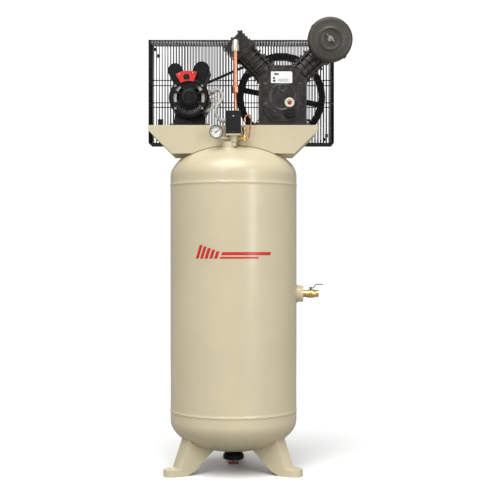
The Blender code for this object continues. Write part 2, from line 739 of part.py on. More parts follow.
# ---- air controls on the top head ----
SWITCH = frame((MANIFOLD_X, MANIFOLD_Y, 0))
GAUGE_X = -0.064
GAUGE_Z = 1.335
GAUGE_BACK = 0.168              # distance in front of the tank's axis
RELIEF_X = 0.0440


def manifold():
    """Threaded stem and square body with the switch's flange and the gauge's elbow."""
    stem = [(0, 1.282), (0.0120, 1.282), (0.0120, 1.3005), (0.0165, 1.3005), (0.0165, 1.3250), (0, 1.3250)]
    body = solid("manifold", "cream", SWITCH, turned, stem, steps=12)
    flange = solid("tool", "cream", SWITCH, block, (-0.028, -0.028, 1.3230), (0.028, 0.028, 1.3300))
    y = MANIFOLD_Y
    route = rounded([(MANIFOLD_X - 0.012, y, 1.313), (GAUGE_X, y, 1.313), (GAUGE_X, y, GAUGE_Z),
                     (GAUGE_X, -GAUGE_BACK + GAP, GAUGE_Z)], 0.007, steps=3)
    join(body, flange, solid("tool", "cream", UP, swept, route, 0.0055, steps=8))


def gauge():
    case = [(0, GAUGE_BACK), (0.022, GAUGE_BACK), (0.0245, 0.172), (0.0250, 0.195), (0.0225, 0.195),
            (0.0225, 0.188), (0.0016, 0.188), (0.0016, 0.184), (0, 0.184)]
    centre = fore(GAUGE_X, GAUGE_Z)
    solid("gauge_case", "white", centre, turned, case, steps=16)
    tip = centre @ Matrix.Rotation(math.radians(35), 4, "Z")
    needle = [(-0.006, -0.0012), (0.0185, -0.0004), (0.0185, 0.0004), (-0.006, 0.0012)]
    hand = solid("gauge_needle", "black", tip, extruded, needle, 0.1890, 0.1900)
    join(hand, rod(centre, 0.0013, 0.1845, 0.1905, steps=8))


def pressure_switch():
    cover = solid("switch_cover", "black", SWITCH, block, (-0.029, -0.030, 1.3303), (0.029, 0.030, 1.418))
    cut(cover, solid("tool", "black", SWITCH, block, (-0.0265, -0.0275, 1.320), (0.0265, 0.0275, 1.4155)))


def relief_and_unloader():
    """Brass safety valve on the manifold and the copper unloader tube above it."""
    y = MANIFOLD_Y
    base = [(0, 1.3035), (0.0085, 1.3035), (0.0085, 1.3220), (0.0060, 1.3250), (0.0060, 1.3400), (0.0085, 1.3430),
            (0.0085, 1.3560), (0.0022, 1.3560), (0.0022, 1.3480), (0, 1.3480)]
    valve = solid("relief_valve", "brass", frame((RELIEF_X, y, 0)), turned, base, steps=12)
    arm = frame((0, y, 1.313), axis=(1, 0, 0))
    join(valve, rod(arm, 0.0055, MANIFOLD_X + 0.0165 + GAP, RELIEF_X, steps=10))
    ring = arc(RELIEF_X, 1.3640, 0.0062, -90, 240, 9)
    stem = [(RELIEF_X, y, 1.3490), *[(x, y, z) for x, z in ring]]
    solid("relief_ring", "steel", UP, swept, stem, 0.0011, steps=6)
    route = rounded([(RELIEF_X + 0.0088, y, 1.3130), (0.062, y, 1.3130), (0.072, y, 1.396), (0.0585, y, 1.407),
                     (0.0460, y, 1.396), (0.0460, y, 1.3760)], 0.007, steps=2)
    solid("unloader_tube", "copper", UP, swept, route, 0.0032, steps=6)


# ---- discharge line ----
def discharge_line():
    port = port_place("left")
    y = -0.110
    top = port.z
    elbow = [(0, top - 0.034), (0.0150, top - 0.034), (0.0150, top - 0.012), (0.0125, top - 0.008),
             (0.0125, top + 0.004), (0.0080, top + 0.0115), (0, top + 0.0135)]
    nut = solid("discharge_elbow", "aluminium", frame((port.x, y, 0)), turned, elbow, steps=14)
    join(nut, rod(fore(port.x, top), 0.0080, -port.y + GAP, 0.110, steps=12))
    pipe = ring_profile(0.0075, 0.0095, 1.5215, top - 0.034 - GAP)
    solid("discharge_pipe", "copper", frame((port.x, y, 0)), turned, pipe, steps=14)
    nut = [(1.5212, 0.0125), (1.5180, 0.0140), (1.4980, 0.0140), (1.4940, 0.0125)]
    run = rounded([(port.x, y, 1.4937), (port.x, y, 1.425), (CHECK_X, CHECK_Y, 1.385), (CHECK_X, CHECK_Y, 1.3505)],
                  0.020, steps=2)
    route = [(port.x, y, z) for z, _ in nut] + run
    radii = [r for _, r in nut] + [0.0060] * len(run)
    solid("discharge_tube_lower", "copper", UP, swept, route, radii, steps=8)
    valve = [(0, 1.286), (0.0090, 1.286), (0.0090, 1.3085), (0.0135, 1.3085), (0.0135, 1.330), (0.0100, 1.334),
             (0.0100, 1.3502), (0, 1.3502)]
    solid("check_valve", "brass", frame((CHECK_X, CHECK_Y, 0)), turned, valve, steps=12)


# ---- side outlet ----
BALL_AT = 0.310


def outlet_valve():
    axis = frame((0, 0, OUTLET_Z), axis=(1, 0, 0))
    outside = [(0.0065, 0.262), (0.0117, 0.262), (0.0117, 0.2795), (0.0140, 0.2795), (0.0140, 0.292),
               (0.0170, 0.300), (0.0170, 0.320), (0.0140, 0.327), (0.0140, 0.341), (0.0065, 0.341)]
    cavity = [(0.0065, BALL_AT + 0.0090), (0.0113, BALL_AT + 0.0040), (0.0113, BALL_AT - 0.0040),
              (0.0065, BALL_AT - 0.0090)]
    body = solid("outlet_valve_body", "brass", axis, turned, outside + cavity, steps=12)
    spindle = frame((BALL_AT, 0, OUTLET_Z))
    cut(body, rod(spindle, 0.0036, 0.004, 0.030, steps=10))
    ball = [(0, -0.0095)]
    for degrees in (-60, -30, 0, 30, 60):
        a = math.radians(degrees)
        ball.append((0.0095 * math.cos(a), 0.0095 * math.sin(a)))
    ball.append((0, 0.0095))
    plug = solid("outlet_valve_ball", "steel", spindle, turned, ball, steps=12)
    cut(plug, rod(axis, 0.0055, BALL_AT - 0.02, BALL_AT + 0.02, steps=10))
    arm = [(-0.008, 0.0210), (0.010, 0.0210), (0.022, 0.0360), (0.049, 0.0360), (0.049, 0.0390), (0.0205, 0.0390),
           (0.0085, 0.0240), (-0.008, 0.0240)]
    lever = solid("outlet_valve_lever", "black", fore(BALL_AT, OUTLET_Z), extruded, arm, -0.006, 0.006)
    join(lever, rod(spindle, 0.0032, 0.0098, 0.0265, steps=10))


# ---- bottom drain ----
def drain():
    skirt = [(0.0120, 0.0768), (0.0120, 0.0730), (0.028, 0.0725), (0.039, 0.0585), (0.039, 0.044), (0.042, 0.044),
             (0.042, 0.0600), (0.030, 0.0768)]
    solid("drain_skirt", "black", UP, turned, skirt, steps=16)
    body = [(0, 0.092), (0.0081, 0.092), (0.0081, 0.0640), (0.0110, 0.0640), (0.0110, 0.0400), (0.0022, 0.0400),
            (0.0022, 0.0500), (0, 0.0500)]
    solid("drain_valve", "brass", UP, turned, body, steps=12)
    tee = solid("drain_tee", "red", UP, block, (-0.020, -0.0035, 0.020), (0.020, 0.0035, 0.030))
    join(tee, rod(UP, 0.0019, 0.025, 0.0490, steps=8))


# ---- motor wiring ----
def smooth(route, steps):
    """Points on a Catmull-Rom curve through a route."""
    knots = [Vector(p) for p in route]
    knots = [2 * knots[0] - knots[1], *knots, 2 * knots[-1] - knots[-2]]
    points = []
    for a, b, c, d in zip(knots, knots[1:], knots[2:], knots[3:]):
        for i in range(steps):
            t = i / steps
            points.append(0.5 * (2 * b + (c - a) * t + (2 * a - 5 * b + 4 * c - d) * t ** 2
                                 + (3 * b - a - 3 * c + d) * t ** 3))
    points.append(knots[-2])
    return points


CONDUIT_ROUTE = [(-0.0795, -0.070, 1.507), (-0.058, -0.078, 1.512), (-0.043, -0.100, 1.490), (-0.046, -0.125, 1.463),
                 (-0.063, -0.142, 1.440), (-0.067, -0.150, 1.410), (-0.048, -0.150, 1.3825), (-0.0282, -0.150, 1.3815)]


def wiring():
    gland = [(-0.0955, 0.0085), (-0.0900, 0.0110), (-0.0840, 0.0110), (-0.0800, 0.0085)]
    run = smooth(CONDUIT_ROUTE, 2)
    route = [(x, CONDUIT_ROUTE[0][1], CONDUIT_ROUTE[0][2]) for x, _ in gland] + run
    radii = [r for _, r in gland] + [0.0070] * len(run)
    piece = solid("motor_conduit", "grey", UP, swept, route, radii, steps=8)
    cut(piece, rod(MOTOR, MOTOR_SEAT, -0.05, 0.11, steps=20))


manifold()
gauge()
pressure_switch()
relief_and_unloader()
discharge_line()
outlet_valve()
drain()
wiring()
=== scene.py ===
"""Finished look of the vertical tank compressor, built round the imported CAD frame.

Metres, +Z up, the front is -Y. Places come from the CAD nodes' boxes.
"""
import json
import math

import bmesh
import bpy
from mathutils import Matrix, Vector


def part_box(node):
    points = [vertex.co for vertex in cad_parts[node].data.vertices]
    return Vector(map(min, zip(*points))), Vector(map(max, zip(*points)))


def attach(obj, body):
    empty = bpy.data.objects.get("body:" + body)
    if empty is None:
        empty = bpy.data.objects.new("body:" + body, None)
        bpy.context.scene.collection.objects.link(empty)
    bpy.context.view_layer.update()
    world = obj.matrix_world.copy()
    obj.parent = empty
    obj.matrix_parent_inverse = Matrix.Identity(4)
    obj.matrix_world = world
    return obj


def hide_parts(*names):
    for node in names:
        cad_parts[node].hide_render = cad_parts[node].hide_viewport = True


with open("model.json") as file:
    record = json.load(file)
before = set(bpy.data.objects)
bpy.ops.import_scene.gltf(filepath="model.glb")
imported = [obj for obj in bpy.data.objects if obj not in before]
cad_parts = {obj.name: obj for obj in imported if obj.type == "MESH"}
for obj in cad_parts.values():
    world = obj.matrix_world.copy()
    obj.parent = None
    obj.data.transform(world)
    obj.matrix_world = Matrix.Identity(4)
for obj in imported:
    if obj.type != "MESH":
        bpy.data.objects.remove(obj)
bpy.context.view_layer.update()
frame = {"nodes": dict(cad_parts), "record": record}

SLOT = {row["node"]: row["material_slot"] for row in frame["record"]["subparts"]}
BODY = {n: body for body, names in frame["record"]["behaviour"]["bodies"].items() for n in names}


# ---- places taken from the frame ----
def middle(node):
    low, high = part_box(node)
    return (low + high) / 2


TANK_LOW, TANK_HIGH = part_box("tank_shell")
TANK_R = -TANK_LOW.y
TANK_BASE = TANK_LOW.z
TANK_TOP = TANK_HIGH.z
HEAD_DEPTH = TANK_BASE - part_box("tank_head_bottom")[0].z
CRANK = middle("crank_bearing")
MOTOR = middle("motor_rotor")
WHEEL = middle("flywheel")
DECK_LOW, DECK_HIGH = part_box("deck")
FILTER = middle("filter_cover")
GAUGE = middle("gauge_case")
SWITCH_LOW, SWITCH_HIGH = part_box("switch_cover")
BARREL_HOLE = 0.04               # inside the barrel wall, clear of the piston


# ---- materials ----
def finish(name, colour, rough, metal=0.0, vary=0.1, patch=5.0, grain=300.0, bump=0.08,
           edge=None, edge_wear_and_highlight=0.5, radius=0.0015, dust=0.0, coat=0.0, spread=0.12, shine=0.5):
    """A procedural finish: blotches of tone and gloss, a fine grain, lighter edges (worn paint, on the
    pump iron partly painted highlight) and settled dust.
    """
    made = bpy.data.materials.new(name)
    made.use_nodes = True
    tree = made.node_tree
    shader = tree.nodes["Principled BSDF"]

    def node(kind, **values):
        item = tree.nodes.new(kind)
        for key, value in values.items():
            if key in item.inputs.keys():
                item.inputs[key].default_value = value
            else:
                setattr(item, key, value)
        return item

    def link(a, b):
        tree.links.new(a, b)

    def ramp(source, low, high, to_low, to_high):
        item = node("ShaderNodeMapRange", interpolation_type="SMOOTHSTEP")
        for key, value in zip(("From Min", "From Max", "To Min", "To Max"),
                              (low, high, to_low, to_high)):
            item.inputs[key].default_value = value
        link(source, item.inputs["Value"])
        return item.outputs["Result"]

    def blend(factor, first, second):
        item = node("ShaderNodeMix", data_type="RGBA")
        link(factor, item.inputs["Factor"])
        for socket, value in ((item.inputs[6], first), (item.inputs[7], second)):
            if isinstance(value, tuple):
                socket.default_value = (*value, 1.0)
            else:
                link(value, socket)
        return item.outputs[2]

    place = node("ShaderNodeTexCoord")
    big = node("ShaderNodeTexNoise", Scale=patch, Detail=4.0, Roughness=0.6)
    fine = node("ShaderNodeTexNoise", Scale=grain, Detail=3.0, Roughness=0.55)
    speck = node("ShaderNodeTexNoise", Scale=grain * 0.2, Detail=5.0, Roughness=0.7)
    for item in (big, fine, speck):
        link(place.outputs["Object"], item.inputs["Vector"])
    dark = tuple(c * (1 - vary) for c in colour)
    light = tuple(min(1.0, c * (1 + vary * 0.7)) for c in colour)
    tone = blend(ramp(big.outputs["Fac"], 0.32, 0.68, 0.0, 1.0), dark, light)
    if dust:
        up = node("ShaderNodeSeparateXYZ")
        link(place.outputs["Normal"], up.inputs["Vector"])
        flat = node("ShaderNodeMath", operation="MULTIPLY")
        link(ramp(up.outputs["Z"], 0.55, 1.0, 0.0, dust), flat.inputs[0])
        link(ramp(speck.outputs["Fac"], 0.35, 0.7, 0.25, 1.0), flat.inputs[1])
        tone = blend(flat.outputs["Value"], tone, (0.42, 0.38, 0.32))
    # Lighter edges: worn paint, and on the pump iron also painted highlight.
    if edge:
        soft = node("ShaderNodeBevel", samples=3, Radius=radius)
        hard = node("ShaderNodeNewGeometry")
        same = node("ShaderNodeVectorMath", operation="DOT_PRODUCT")
        link(soft.outputs["Normal"], same.inputs[0])
        link(hard.outputs["Normal"], same.inputs[1])
        edge_wear_and_highlight_mask = node("ShaderNodeMath", operation="MULTIPLY")
        link(ramp(same.outputs["Value"], 0.995, 0.86, 0.0, edge_wear_and_highlight), edge_wear_and_highlight_mask.inputs[0])
        link(ramp(speck.outputs["Fac"], 0.42, 0.62, 0.15, 1.0), edge_wear_and_highlight_mask.inputs[1])
        tone = blend(edge_wear_and_highlight_mask.outputs["Value"], tone, edge)
    link(tone, shader.inputs["Base Color"])
    link(ramp(speck.outputs["Fac"], 0.3, 0.7, max(0.04, rough - spread), min(1.0, rough + spread)),
         shader.inputs["Roughness"])
    shader.inputs["Metallic"].default_value = metal
    shader.inputs["Specular IOR Level"].default_value = shine
    shader.inputs["Coat Weight"].default_value = coat
    shader.inputs["Coat Roughness"].default_value = 0.18
    relief = node("ShaderNodeBump", Strength=bump, Distance=0.001)
    link(fine.outputs["Fac"], relief.inputs["Height"])
    link(relief.outputs["Normal"], shader.inputs["Normal"])
    return made


LOOK = {
    "receiver_paint": finish("receiver_paint", (0.605, 0.533, 0.364), 0.33, vary=0.045, patch=3.0,
                             grain=420.0,
                             bump=0.1, edge=(0.8, 0.74, 0.58), edge_wear_and_highlight=0.35, coat=0.25, spread=0.07),
    "black_paint": finish("black_paint", (0.007, 0.007, 0.007), 0.38, vary=0.25, patch=9.0, grain=500.0,
                          bump=0.1, edge=(0.07, 0.07, 0.07), edge_wear_and_highlight=0.5, dust=0.08, shine=0.2),
    # Pump iron: its light edges are partly worn paint, partly painted highlight along the cover and case
    # borders.
    "pump_iron": finish("pump_iron", (0.02, 0.0175, 0.0135), 0.34, metal=0.1, vary=0.2, patch=14.0,
                        grain=240.0, bump=0.22, edge=(0.22, 0.2, 0.16), edge_wear_and_highlight=0.85, dust=0.18,
                        radius=0.0022,
                        coat=0.25),
    "steel": finish("steel", (0.56, 0.55, 0.53), 0.28, metal=1.0, vary=0.1, patch=30.0, grain=700.0,
                    bump=0.05, edge=(0.75, 0.75, 0.73), edge_wear_and_highlight=0.5),
    "aluminium": finish("aluminium", (0.62, 0.61, 0.59), 0.36, metal=1.0, vary=0.1, patch=25.0,
                        grain=500.0, bump=0.1, edge=(0.8, 0.8, 0.79), edge_wear_and_highlight=0.5),
    "copper": finish("copper", (0.8, 0.34, 0.2), 0.26, metal=1.0, vary=0.04, patch=6.0, grain=300.0,
                     bump=0.005, edge=(0.84, 0.42, 0.28), edge_wear_and_highlight=0.05, spread=0.01),
    "brass": finish("brass", (0.72, 0.5, 0.2), 0.26, metal=1.0, vary=0.14, patch=35.0, grain=600.0,
                    bump=0.05, edge=(0.9, 0.74, 0.42), edge_wear_and_highlight=0.5),
    "belt_rubber": finish("belt_rubber", (0.012, 0.012, 0.012), 0.62, vary=0.25, patch=20.0, grain=900.0,
                          bump=0.25, edge=(0.05, 0.05, 0.05), edge_wear_and_highlight=0.5),
    "black_plastic": finish("black_plastic", (0.009, 0.009, 0.009), 0.4, vary=0.18, patch=16.0,
                            grain=900.0, bump=0.18, edge=(0.05, 0.05, 0.05), edge_wear_and_highlight=0.4, dust=0.08,
                            shine=0.3),
    "red_plate": finish("red_plate", (0.66, 0.02, 0.014), 0.32, vary=0.1, patch=30.0, grain=500.0,
                        bump=0.06, edge=(0.8, 0.22, 0.18), edge_wear_and_highlight=0.5, coat=0.3),
    "tee_red": finish("tee_red", (0.22, 0.035, 0.018), 0.45, vary=0.2, patch=40.0, grain=500.0,
                      bump=0.12, edge=(0.4, 0.14, 0.09), edge_wear_and_highlight=0.5),
    "filter_paper": finish("filter_paper", (0.62, 0.52, 0.34), 0.85, vary=0.12, patch=40.0, grain=900.0,
                           bump=0.3, edge=(0.5, 0.42, 0.28), edge_wear_and_highlight=0.3),
    "gauge_white": finish("gauge_white", (0.8, 0.8, 0.77), 0.34, vary=0.04, patch=30.0, grain=600.0,
                          bump=0.03, edge=(0.62, 0.62, 0.6), edge_wear_and_highlight=0.3),
    "sight_window": finish("sight_window", (0.72, 0.66, 0.54), 0.22, vary=0.08, patch=60.0, grain=500.0,
                           bump=0.04, edge=(0.86, 0.82, 0.72), edge_wear_and_highlight=0.4, coat=0.5),
    "conduit_grey": finish("conduit_grey", (0.42, 0.41, 0.38), 0.42, vary=0.12, patch=40.0, grain=600.0,
                           bump=0.12, edge=(0.6, 0.59, 0.56), edge_wear_and_highlight=0.4),
}
FILTER_BLACK = finish("filter_black", (0.042, 0.037, 0.03), 0.4, vary=0.08, patch=7.0, grain=700.0,
                      bump=0.1, edge=(0.16, 0.15, 0.13), edge_wear_and_highlight=0.6, dust=0.05, radius=0.0012)
WEATHERED = finish("zinc_screw", (0.42, 0.41, 0.38), 0.34, metal=1.0, vary=0.2, patch=80.0, grain=900.0,
                   bump=0.06, edge=(0.7, 0.7, 0.68), edge_wear_and_highlight=0.5)
# Near-black for the inside of the motor behind the bell: painted shade.
PAINTED_SHADE_INSIDE = finish("painted_shade_inside", (0.006, 0.006, 0.006), 0.7, vary=0.3, patch=40.0, grain=500.0,
                   bump=0.05, edge=(0.02, 0.02, 0.02), edge_wear_and_highlight=0.2)
MARK_RED = finish("mark_red", (0.56, 0.016, 0.012), 0.34, vary=0.06, patch=14.0, grain=420.0, bump=0.1,
                  edge=(0.6, 0.1, 0.08), edge_wear_and_highlight=0.3, coat=0.25)
# Pale cream metal for the discharge elbow, brightened past its metal colour: partly painted highlight.
PALE_METAL_AND_HIGHLIGHT = finish("pale_metal_and_highlight", (0.78, 0.74, 0.64), 0.3, metal=0.7, vary=0.06, patch=30.0,
                   grain=500.0, bump=0.08, edge=(0.86, 0.84, 0.78), edge_wear_and_highlight=0.5)
LABEL_WHITE = finish("label_white", (0.84, 0.84, 0.84), 0.36, vary=0.03, patch=30.0, grain=500.0,
                     bump=0.02, edge=(0.6, 0.6, 0.6), edge_wear_and_highlight=0.3)
LABEL_GREY = finish("label_grey", (0.06, 0.06, 0.07), 0.45, vary=0.15, patch=60.0, grain=500.0,
                    bump=0.02, edge=(0.12, 0.12, 0.12), edge_wear_and_highlight=0.3)
AMBER = finish("oil_amber", (0.3, 0.045, 0.012), 0.1, vary=0.2, patch=120.0, grain=700.0, bump=0.02,
               edge=(0.4, 0.1, 0.04), edge_wear_and_highlight=0.2, coat=0.8)
PALE_WIRE = finish("pale_wire", (0.62, 0.58, 0.5), 0.42, vary=0.12, patch=60.0, grain=600.0, bump=0.05,
                   edge=(0.8, 0.78, 0.72), edge_wear_and_highlight=0.3)


# ---- making pieces ----
def piece(name, bm, look, body, slot=None, angle=35.0, replaces=(), bevel=0.0):
    """Turn a bmesh into a named piece that rides on a body."""
    bmesh.ops.recalc_face_normals(bm, faces=bm.faces)
    mesh = bpy.data.meshes.new(name)
    bm.to_mesh(mesh)
    bm.free()
    mesh.shade_smooth()
    mesh.set_sharp_from_angle(angle=math.radians(angle))
    obj = bpy.data.objects.new(name, mesh)
    bpy.context.scene.collection.objects.link(obj)
    mesh.materials.append(look)
    if bevel:
        soften(obj, bevel)
    if replaces:
        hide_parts(*replaces)
    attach(obj, body)
    return obj


def fixed(name, bm, slot, look=None, **shape):
    """A piece on the fixed body, in its slot's own finish unless another is given."""
    return piece(name, bm, look or LOOK[slot], "compressor", slot, **shape)


def soften(obj, width):
    """Round the sharp edges."""
    step = obj.modifiers.new("edges", "BEVEL")
    step.width = width
    step.segments = 2
    step.limit_method = "ANGLE"
    step.angle_limit = math.radians(35.0)
    step.harden_normals = True
    step.use_clamp_overlap = True


def finished(node, bevel, look=None):
    """A copy of a CAD node with welded corners, rounded edges and its own finish."""
    bm = bmesh.new()
    bm.from_mesh(frame["nodes"][node].data)
    bmesh.ops.remove_doubles(bm, verts=bm.verts, dist=0.00001)
    bmesh.ops.dissolve_limit(bm, angle_limit=math.radians(0.5), verts=bm.verts, edges=bm.edges)
    return piece(node + "_finished", bm, look or LOOK[SLOT[node]], BODY[node], SLOT[node],
                 angle=32.0, replaces=(node,), bevel=bevel)


def rect(x0, y0, x1, y1):
    """The corners of a rectangle, in order."""
    return [(x0, y0), (x1, y0), (x1, y1), (x0, y1)]


def moved(x, y, z, base=Matrix()):
    """A frame moved along its own axes."""
    return base @ Matrix.Translation((x, y, z))


def join_loops(bm, loops):
    """Close equal loops of vertices, the last one onto the first, into a ring."""
    for near, far in zip(loops, loops[1:] + loops[:1]):
        for i in range(len(near)):
            j = (i + 1) % len(near)
            bm.faces.new((near[i], near[j], far[j], far[i]))


def turned(bm, profile, steps=48, matrix=None):
    """Turn a closed (radius, height) outline about local Z."""
    rings = []
    for radius, height in profile:
        if radius <= 0:
            rings.append([bm.verts.new((0, 0, height))])
            continue
        rings.append([bm.verts.new((radius * math.cos(2 * math.pi * i / steps),
                                    radius * math.sin(2 * math.pi * i / steps), height))
                      for i in range(steps)])
    for low, high in zip(rings, rings[1:] + rings[:1]):
        if len(low) == 1 and len(high) == 1:
            continue
        for i in range(steps):
            j = (i + 1) % steps
            bm.faces.new(list(dict.fromkeys((low[i % len(low)], low[j % len(low)],
                                             high[j % len(high)], high[i % len(high)]))))
    if matrix is not None:
        bmesh.ops.transform(bm, matrix=matrix, verts=[v for ring in rings for v in ring])


def extruded(bm, outline, low, high, matrix=None):
    """Extrude a closed (x, y) outline along local Z."""
    bottom = [bm.verts.new((x, y, low)) for x, y in outline]
    top = [bm.verts.new((x, y, high)) for x, y in outline]
    bm.faces.new(bottom[::-1])
    bm.faces.new(top)
    for i in range(len(outline)):
        j = (i + 1) % len(outline)
        bm.faces.new((bottom[i], bottom[j], top[j], top[i]))
    if matrix is not None:
        bmesh.ops.transform(bm, matrix=matrix, verts=bottom + top)


def swept(bm, route, radius, steps=10, closed=False):
    """A round bar along a list of points, with one radius or a radius for each point."""
    points = [Vector(p) for p in route]
    count = len(points)
    radii = radius if isinstance(radius, list) else [radius] * count
    side = None
    rings = []
    for i, point in enumerate(points):
        before = points[(i - 1) % count] if closed else points[max(i - 1, 0)]
        after = points[(i + 1) % count] if closed else points[min(i + 1, count - 1)]
        along = (after - before).normalized()
        if side is None:
            side = along.orthogonal().normalized()
        side = (side - along * side.dot(along)).normalized()
        other = along.cross(side)
        rings.append([bm.verts.new(point + (side * math.cos(2 * math.pi * k / steps)
                                            + other * math.sin(2 * math.pi * k / steps)) * radii[i])
                      for k in range(steps)])
    pairs = list(zip(rings, rings[1:]))
    if closed:
        pairs.append((rings[-1], rings[0]))
    for low, high in pairs:
        for k in range(steps):
            j = (k + 1) % steps
            bm.faces.new((low[k], low[j], high[j], high[k]))
    if not closed:
        bm.faces.new(rings[0][::-1])
        bm.faces.new(rings[-1])


def facing(origin, axis=(0, -1, 0), side=(1, 0, 0)):
    """A placement whose local Z is the axis and whose local X is near the side."""
    z = Vector(axis).normalized()
    x = Vector(side)
    if abs(z.dot(x)) > 0.99:
        x = Vector((0, 1, 0))
    x = (x - z * x.dot(z)).normalized()
    matrix = Matrix((x, z.cross(x), z)).transposed().to_4x4()
    matrix.translation = Vector(origin)
    return matrix


def arc(cx, cy, radius, first, last, steps):
    """Points on a round stretch, angles in degrees, both ends included."""
    turns = [math.radians(first + (last - first) * i / steps) for i in range(steps + 1)]
    return [(cx + radius * math.cos(a), cy + radius * math.sin(a)) for a in turns]


def hex_head(bm, matrix, width, height, washer=True):
    """A hexagon screw head with a chamfered top and a washer face."""
    if washer:
        turned(bm, rect(0, 0, width * 0.72, height * 0.22),
               steps=20, matrix=matrix)
    low = height * 0.2 if washer else 0.0
    turned(bm, [(0, low), (width / math.sqrt(3), low), (width / math.sqrt(3), height * 0.85),
                (width * 0.48, height), (0, height)], steps=6, matrix=matrix)


def pan_head(bm, matrix, radius, height):
    """A domed screw head."""
    profile = [(0, 0), (radius, 0)]
    profile += [(radius * math.cos(math.radians(a)), height * (0.35 + 0.65 * math.sin(math.radians(a))))
                for a in (0, 25, 50, 72)]
    turned(bm, [*profile, (0, height)], steps=16, matrix=matrix)


def hex_heads(name, places, width, height, bevel, slot="steel", look=None):
    """One piece made of several hexagon heads."""
    bm = bmesh.new()
    for place in places:
        hex_head(bm, place, width, height)
    fixed(name, bm, slot, look, bevel=bevel)


# ---- receiver ----
SEAM_INSET = 0.036                # from a head's joint to its weld bead
BEAD_RISE, BEAD_HALF, BEAD_FOOT = 0.0016, 0.005, 0.012
WALL_RINGS = 26
BACK_SEAM_X = 0.03
BACK_SEAM_STEPS = 89
SIDE_BOSS_R = 0.033


def receiver():
    """The tank in one skin, with a weld bead at each head and a seam down the back."""
    profile = [(0.0, TANK_BASE - HEAD_DEPTH)]
    rise = [math.radians(a) for a in range(3, 90, 3)]
    profile += [(TANK_R * math.sin(a), TANK_BASE - HEAD_DEPTH * math.cos(a)) for a in rise]

    def bead(z):
        crown = [(TANK_R + BEAD_RISE * math.sin(math.radians(t)), z + BEAD_HALF * (t / 90.0 - 1.0))
                 for t in range(0, 181, 30)]
        return [(TANK_R, z - BEAD_FOOT), *crown, (TANK_R, z + BEAD_FOOT)]

    seams = (TANK_BASE + SEAM_INSET, TANK_TOP - SEAM_INSET)
    profile += [(TANK_R, TANK_BASE), (TANK_R, TANK_BASE + 0.01), *bead(seams[0])]
    low, high = seams[0] + 0.03, seams[1] - 0.03
    profile += [(TANK_R, low + (high - low) * i / WALL_RINGS) for i in range(WALL_RINGS + 1)]
    profile += [*bead(seams[1]), (TANK_R, TANK_TOP - 0.01), (TANK_R, TANK_TOP)]
    profile += [(TANK_R * math.sin(a), TANK_TOP + HEAD_DEPTH * math.cos(a)) for a in reversed(rise)]
    profile.append((0.0, TANK_TOP + HEAD_DEPTH))
    bm = bmesh.new()
    turned(bm, profile, steps=128)
    for vert in bm.verts:
        for z in seams:
            if abs(vert.co.z - z) < BEAD_HALF and vert.co.xy.length > TANK_R + 0.0005:
                vert.co.z += 0.0008 * math.sin(31 * math.atan2(vert.co.y, vert.co.x))
    fixed("tank_skin", bm, "receiver_paint", angle=60,
          replaces=("tank_shell", "tank_head_top", "tank_head_bottom"))

    bm = bmesh.new()
    seam = []
    for i in range(BACK_SEAM_STEPS + 1):
        z = seams[0] + (seams[1] - seams[0]) * i / BACK_SEAM_STEPS
        wave = 0.0006 * math.sin(i * 1.9)
        seam.append((wave - BACK_SEAM_X, math.sqrt(TANK_R ** 2 - BACK_SEAM_X ** 2) - 0.0006, z))
    swept(bm, seam, [0.0026 + 0.0004 * math.sin(i * 2.7) for i in range(len(seam))], steps=8)
    fixed("tank_seam", bm, "receiver_paint", angle=60)

    tops = (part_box("manifold")[0].z + 0.0175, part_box("tank_head_top")[1].z)
    bosses = ((middle("manifold"), 0.022, 0.0125, tops[0]),
              (middle("check_valve"), 0.016, 0.0095, tops[1]))
    for index, (spot, outer, inner, top) in enumerate(bosses, 1):
        x, y = spot.x, spot.y
        out = math.hypot(x, y)
        surface = TANK_TOP + HEAD_DEPTH * math.sqrt(1 - (out / TANK_R) ** 2)
        bm = bmesh.new()
        turned(bm, [(inner, surface - 0.03), (outer, surface - 0.03), (outer, top - 0.0014),
                    (outer - 0.0014, top), (inner, top)], steps=40, matrix=moved(x, y, 0))
        slope = (x / TANK_R ** 2 * HEAD_DEPTH ** 2, y / TANK_R ** 2 * HEAD_DEPTH ** 2,
                 surface - TANK_TOP)
        tilt = facing((x, y, surface), slope)
        ring = [(outer - 0.002, -0.004), (outer + 0.006, -0.002), (outer + 0.0046, 0.0014),
                (outer + 0.0018, 0.0042), (outer - 0.002, 0.0052)]
        turned(bm, ring, steps=40, matrix=tilt)
        fixed(f"tank_top_boss_{index}", bm, "receiver_paint", angle=40)

    shell_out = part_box("tank_shell")[1].x
    side = facing((0, 0, middle("outlet_valve_body").z), (1, 0, 0), (0, 1, 0))
    bm = bmesh.new()
    turned(bm, [(0.0125, TANK_R - 0.012), (SIDE_BOSS_R, TANK_R - 0.012),
                (SIDE_BOSS_R, shell_out - 0.003),
                (SIDE_BOSS_R - 0.0009, shell_out - 0.0009), (SIDE_BOSS_R - 0.003, shell_out),
                (0.0125, shell_out)], steps=48, matrix=side)
    fillet = []
    for i in range(48):
        a = 2 * math.pi * i / 48
        y = (SIDE_BOSS_R + 0.001) * math.cos(a)
        wobble = 0.0006 * math.sin(11 * a)
        fillet.append((math.sqrt(TANK_R ** 2 - y * y) + 0.0012, y * (1 + wobble),
                       middle("outlet_valve_body").z + (SIDE_BOSS_R + 0.001) * math.sin(a)))
    radii = [0.0034 + 0.0005 * math.sin(i * 2.1) for i in range(48)]
    swept(bm, fillet, radii, steps=10, closed=True)
    fixed("tank_outlet_boss", bm, "receiver_paint", angle=40)


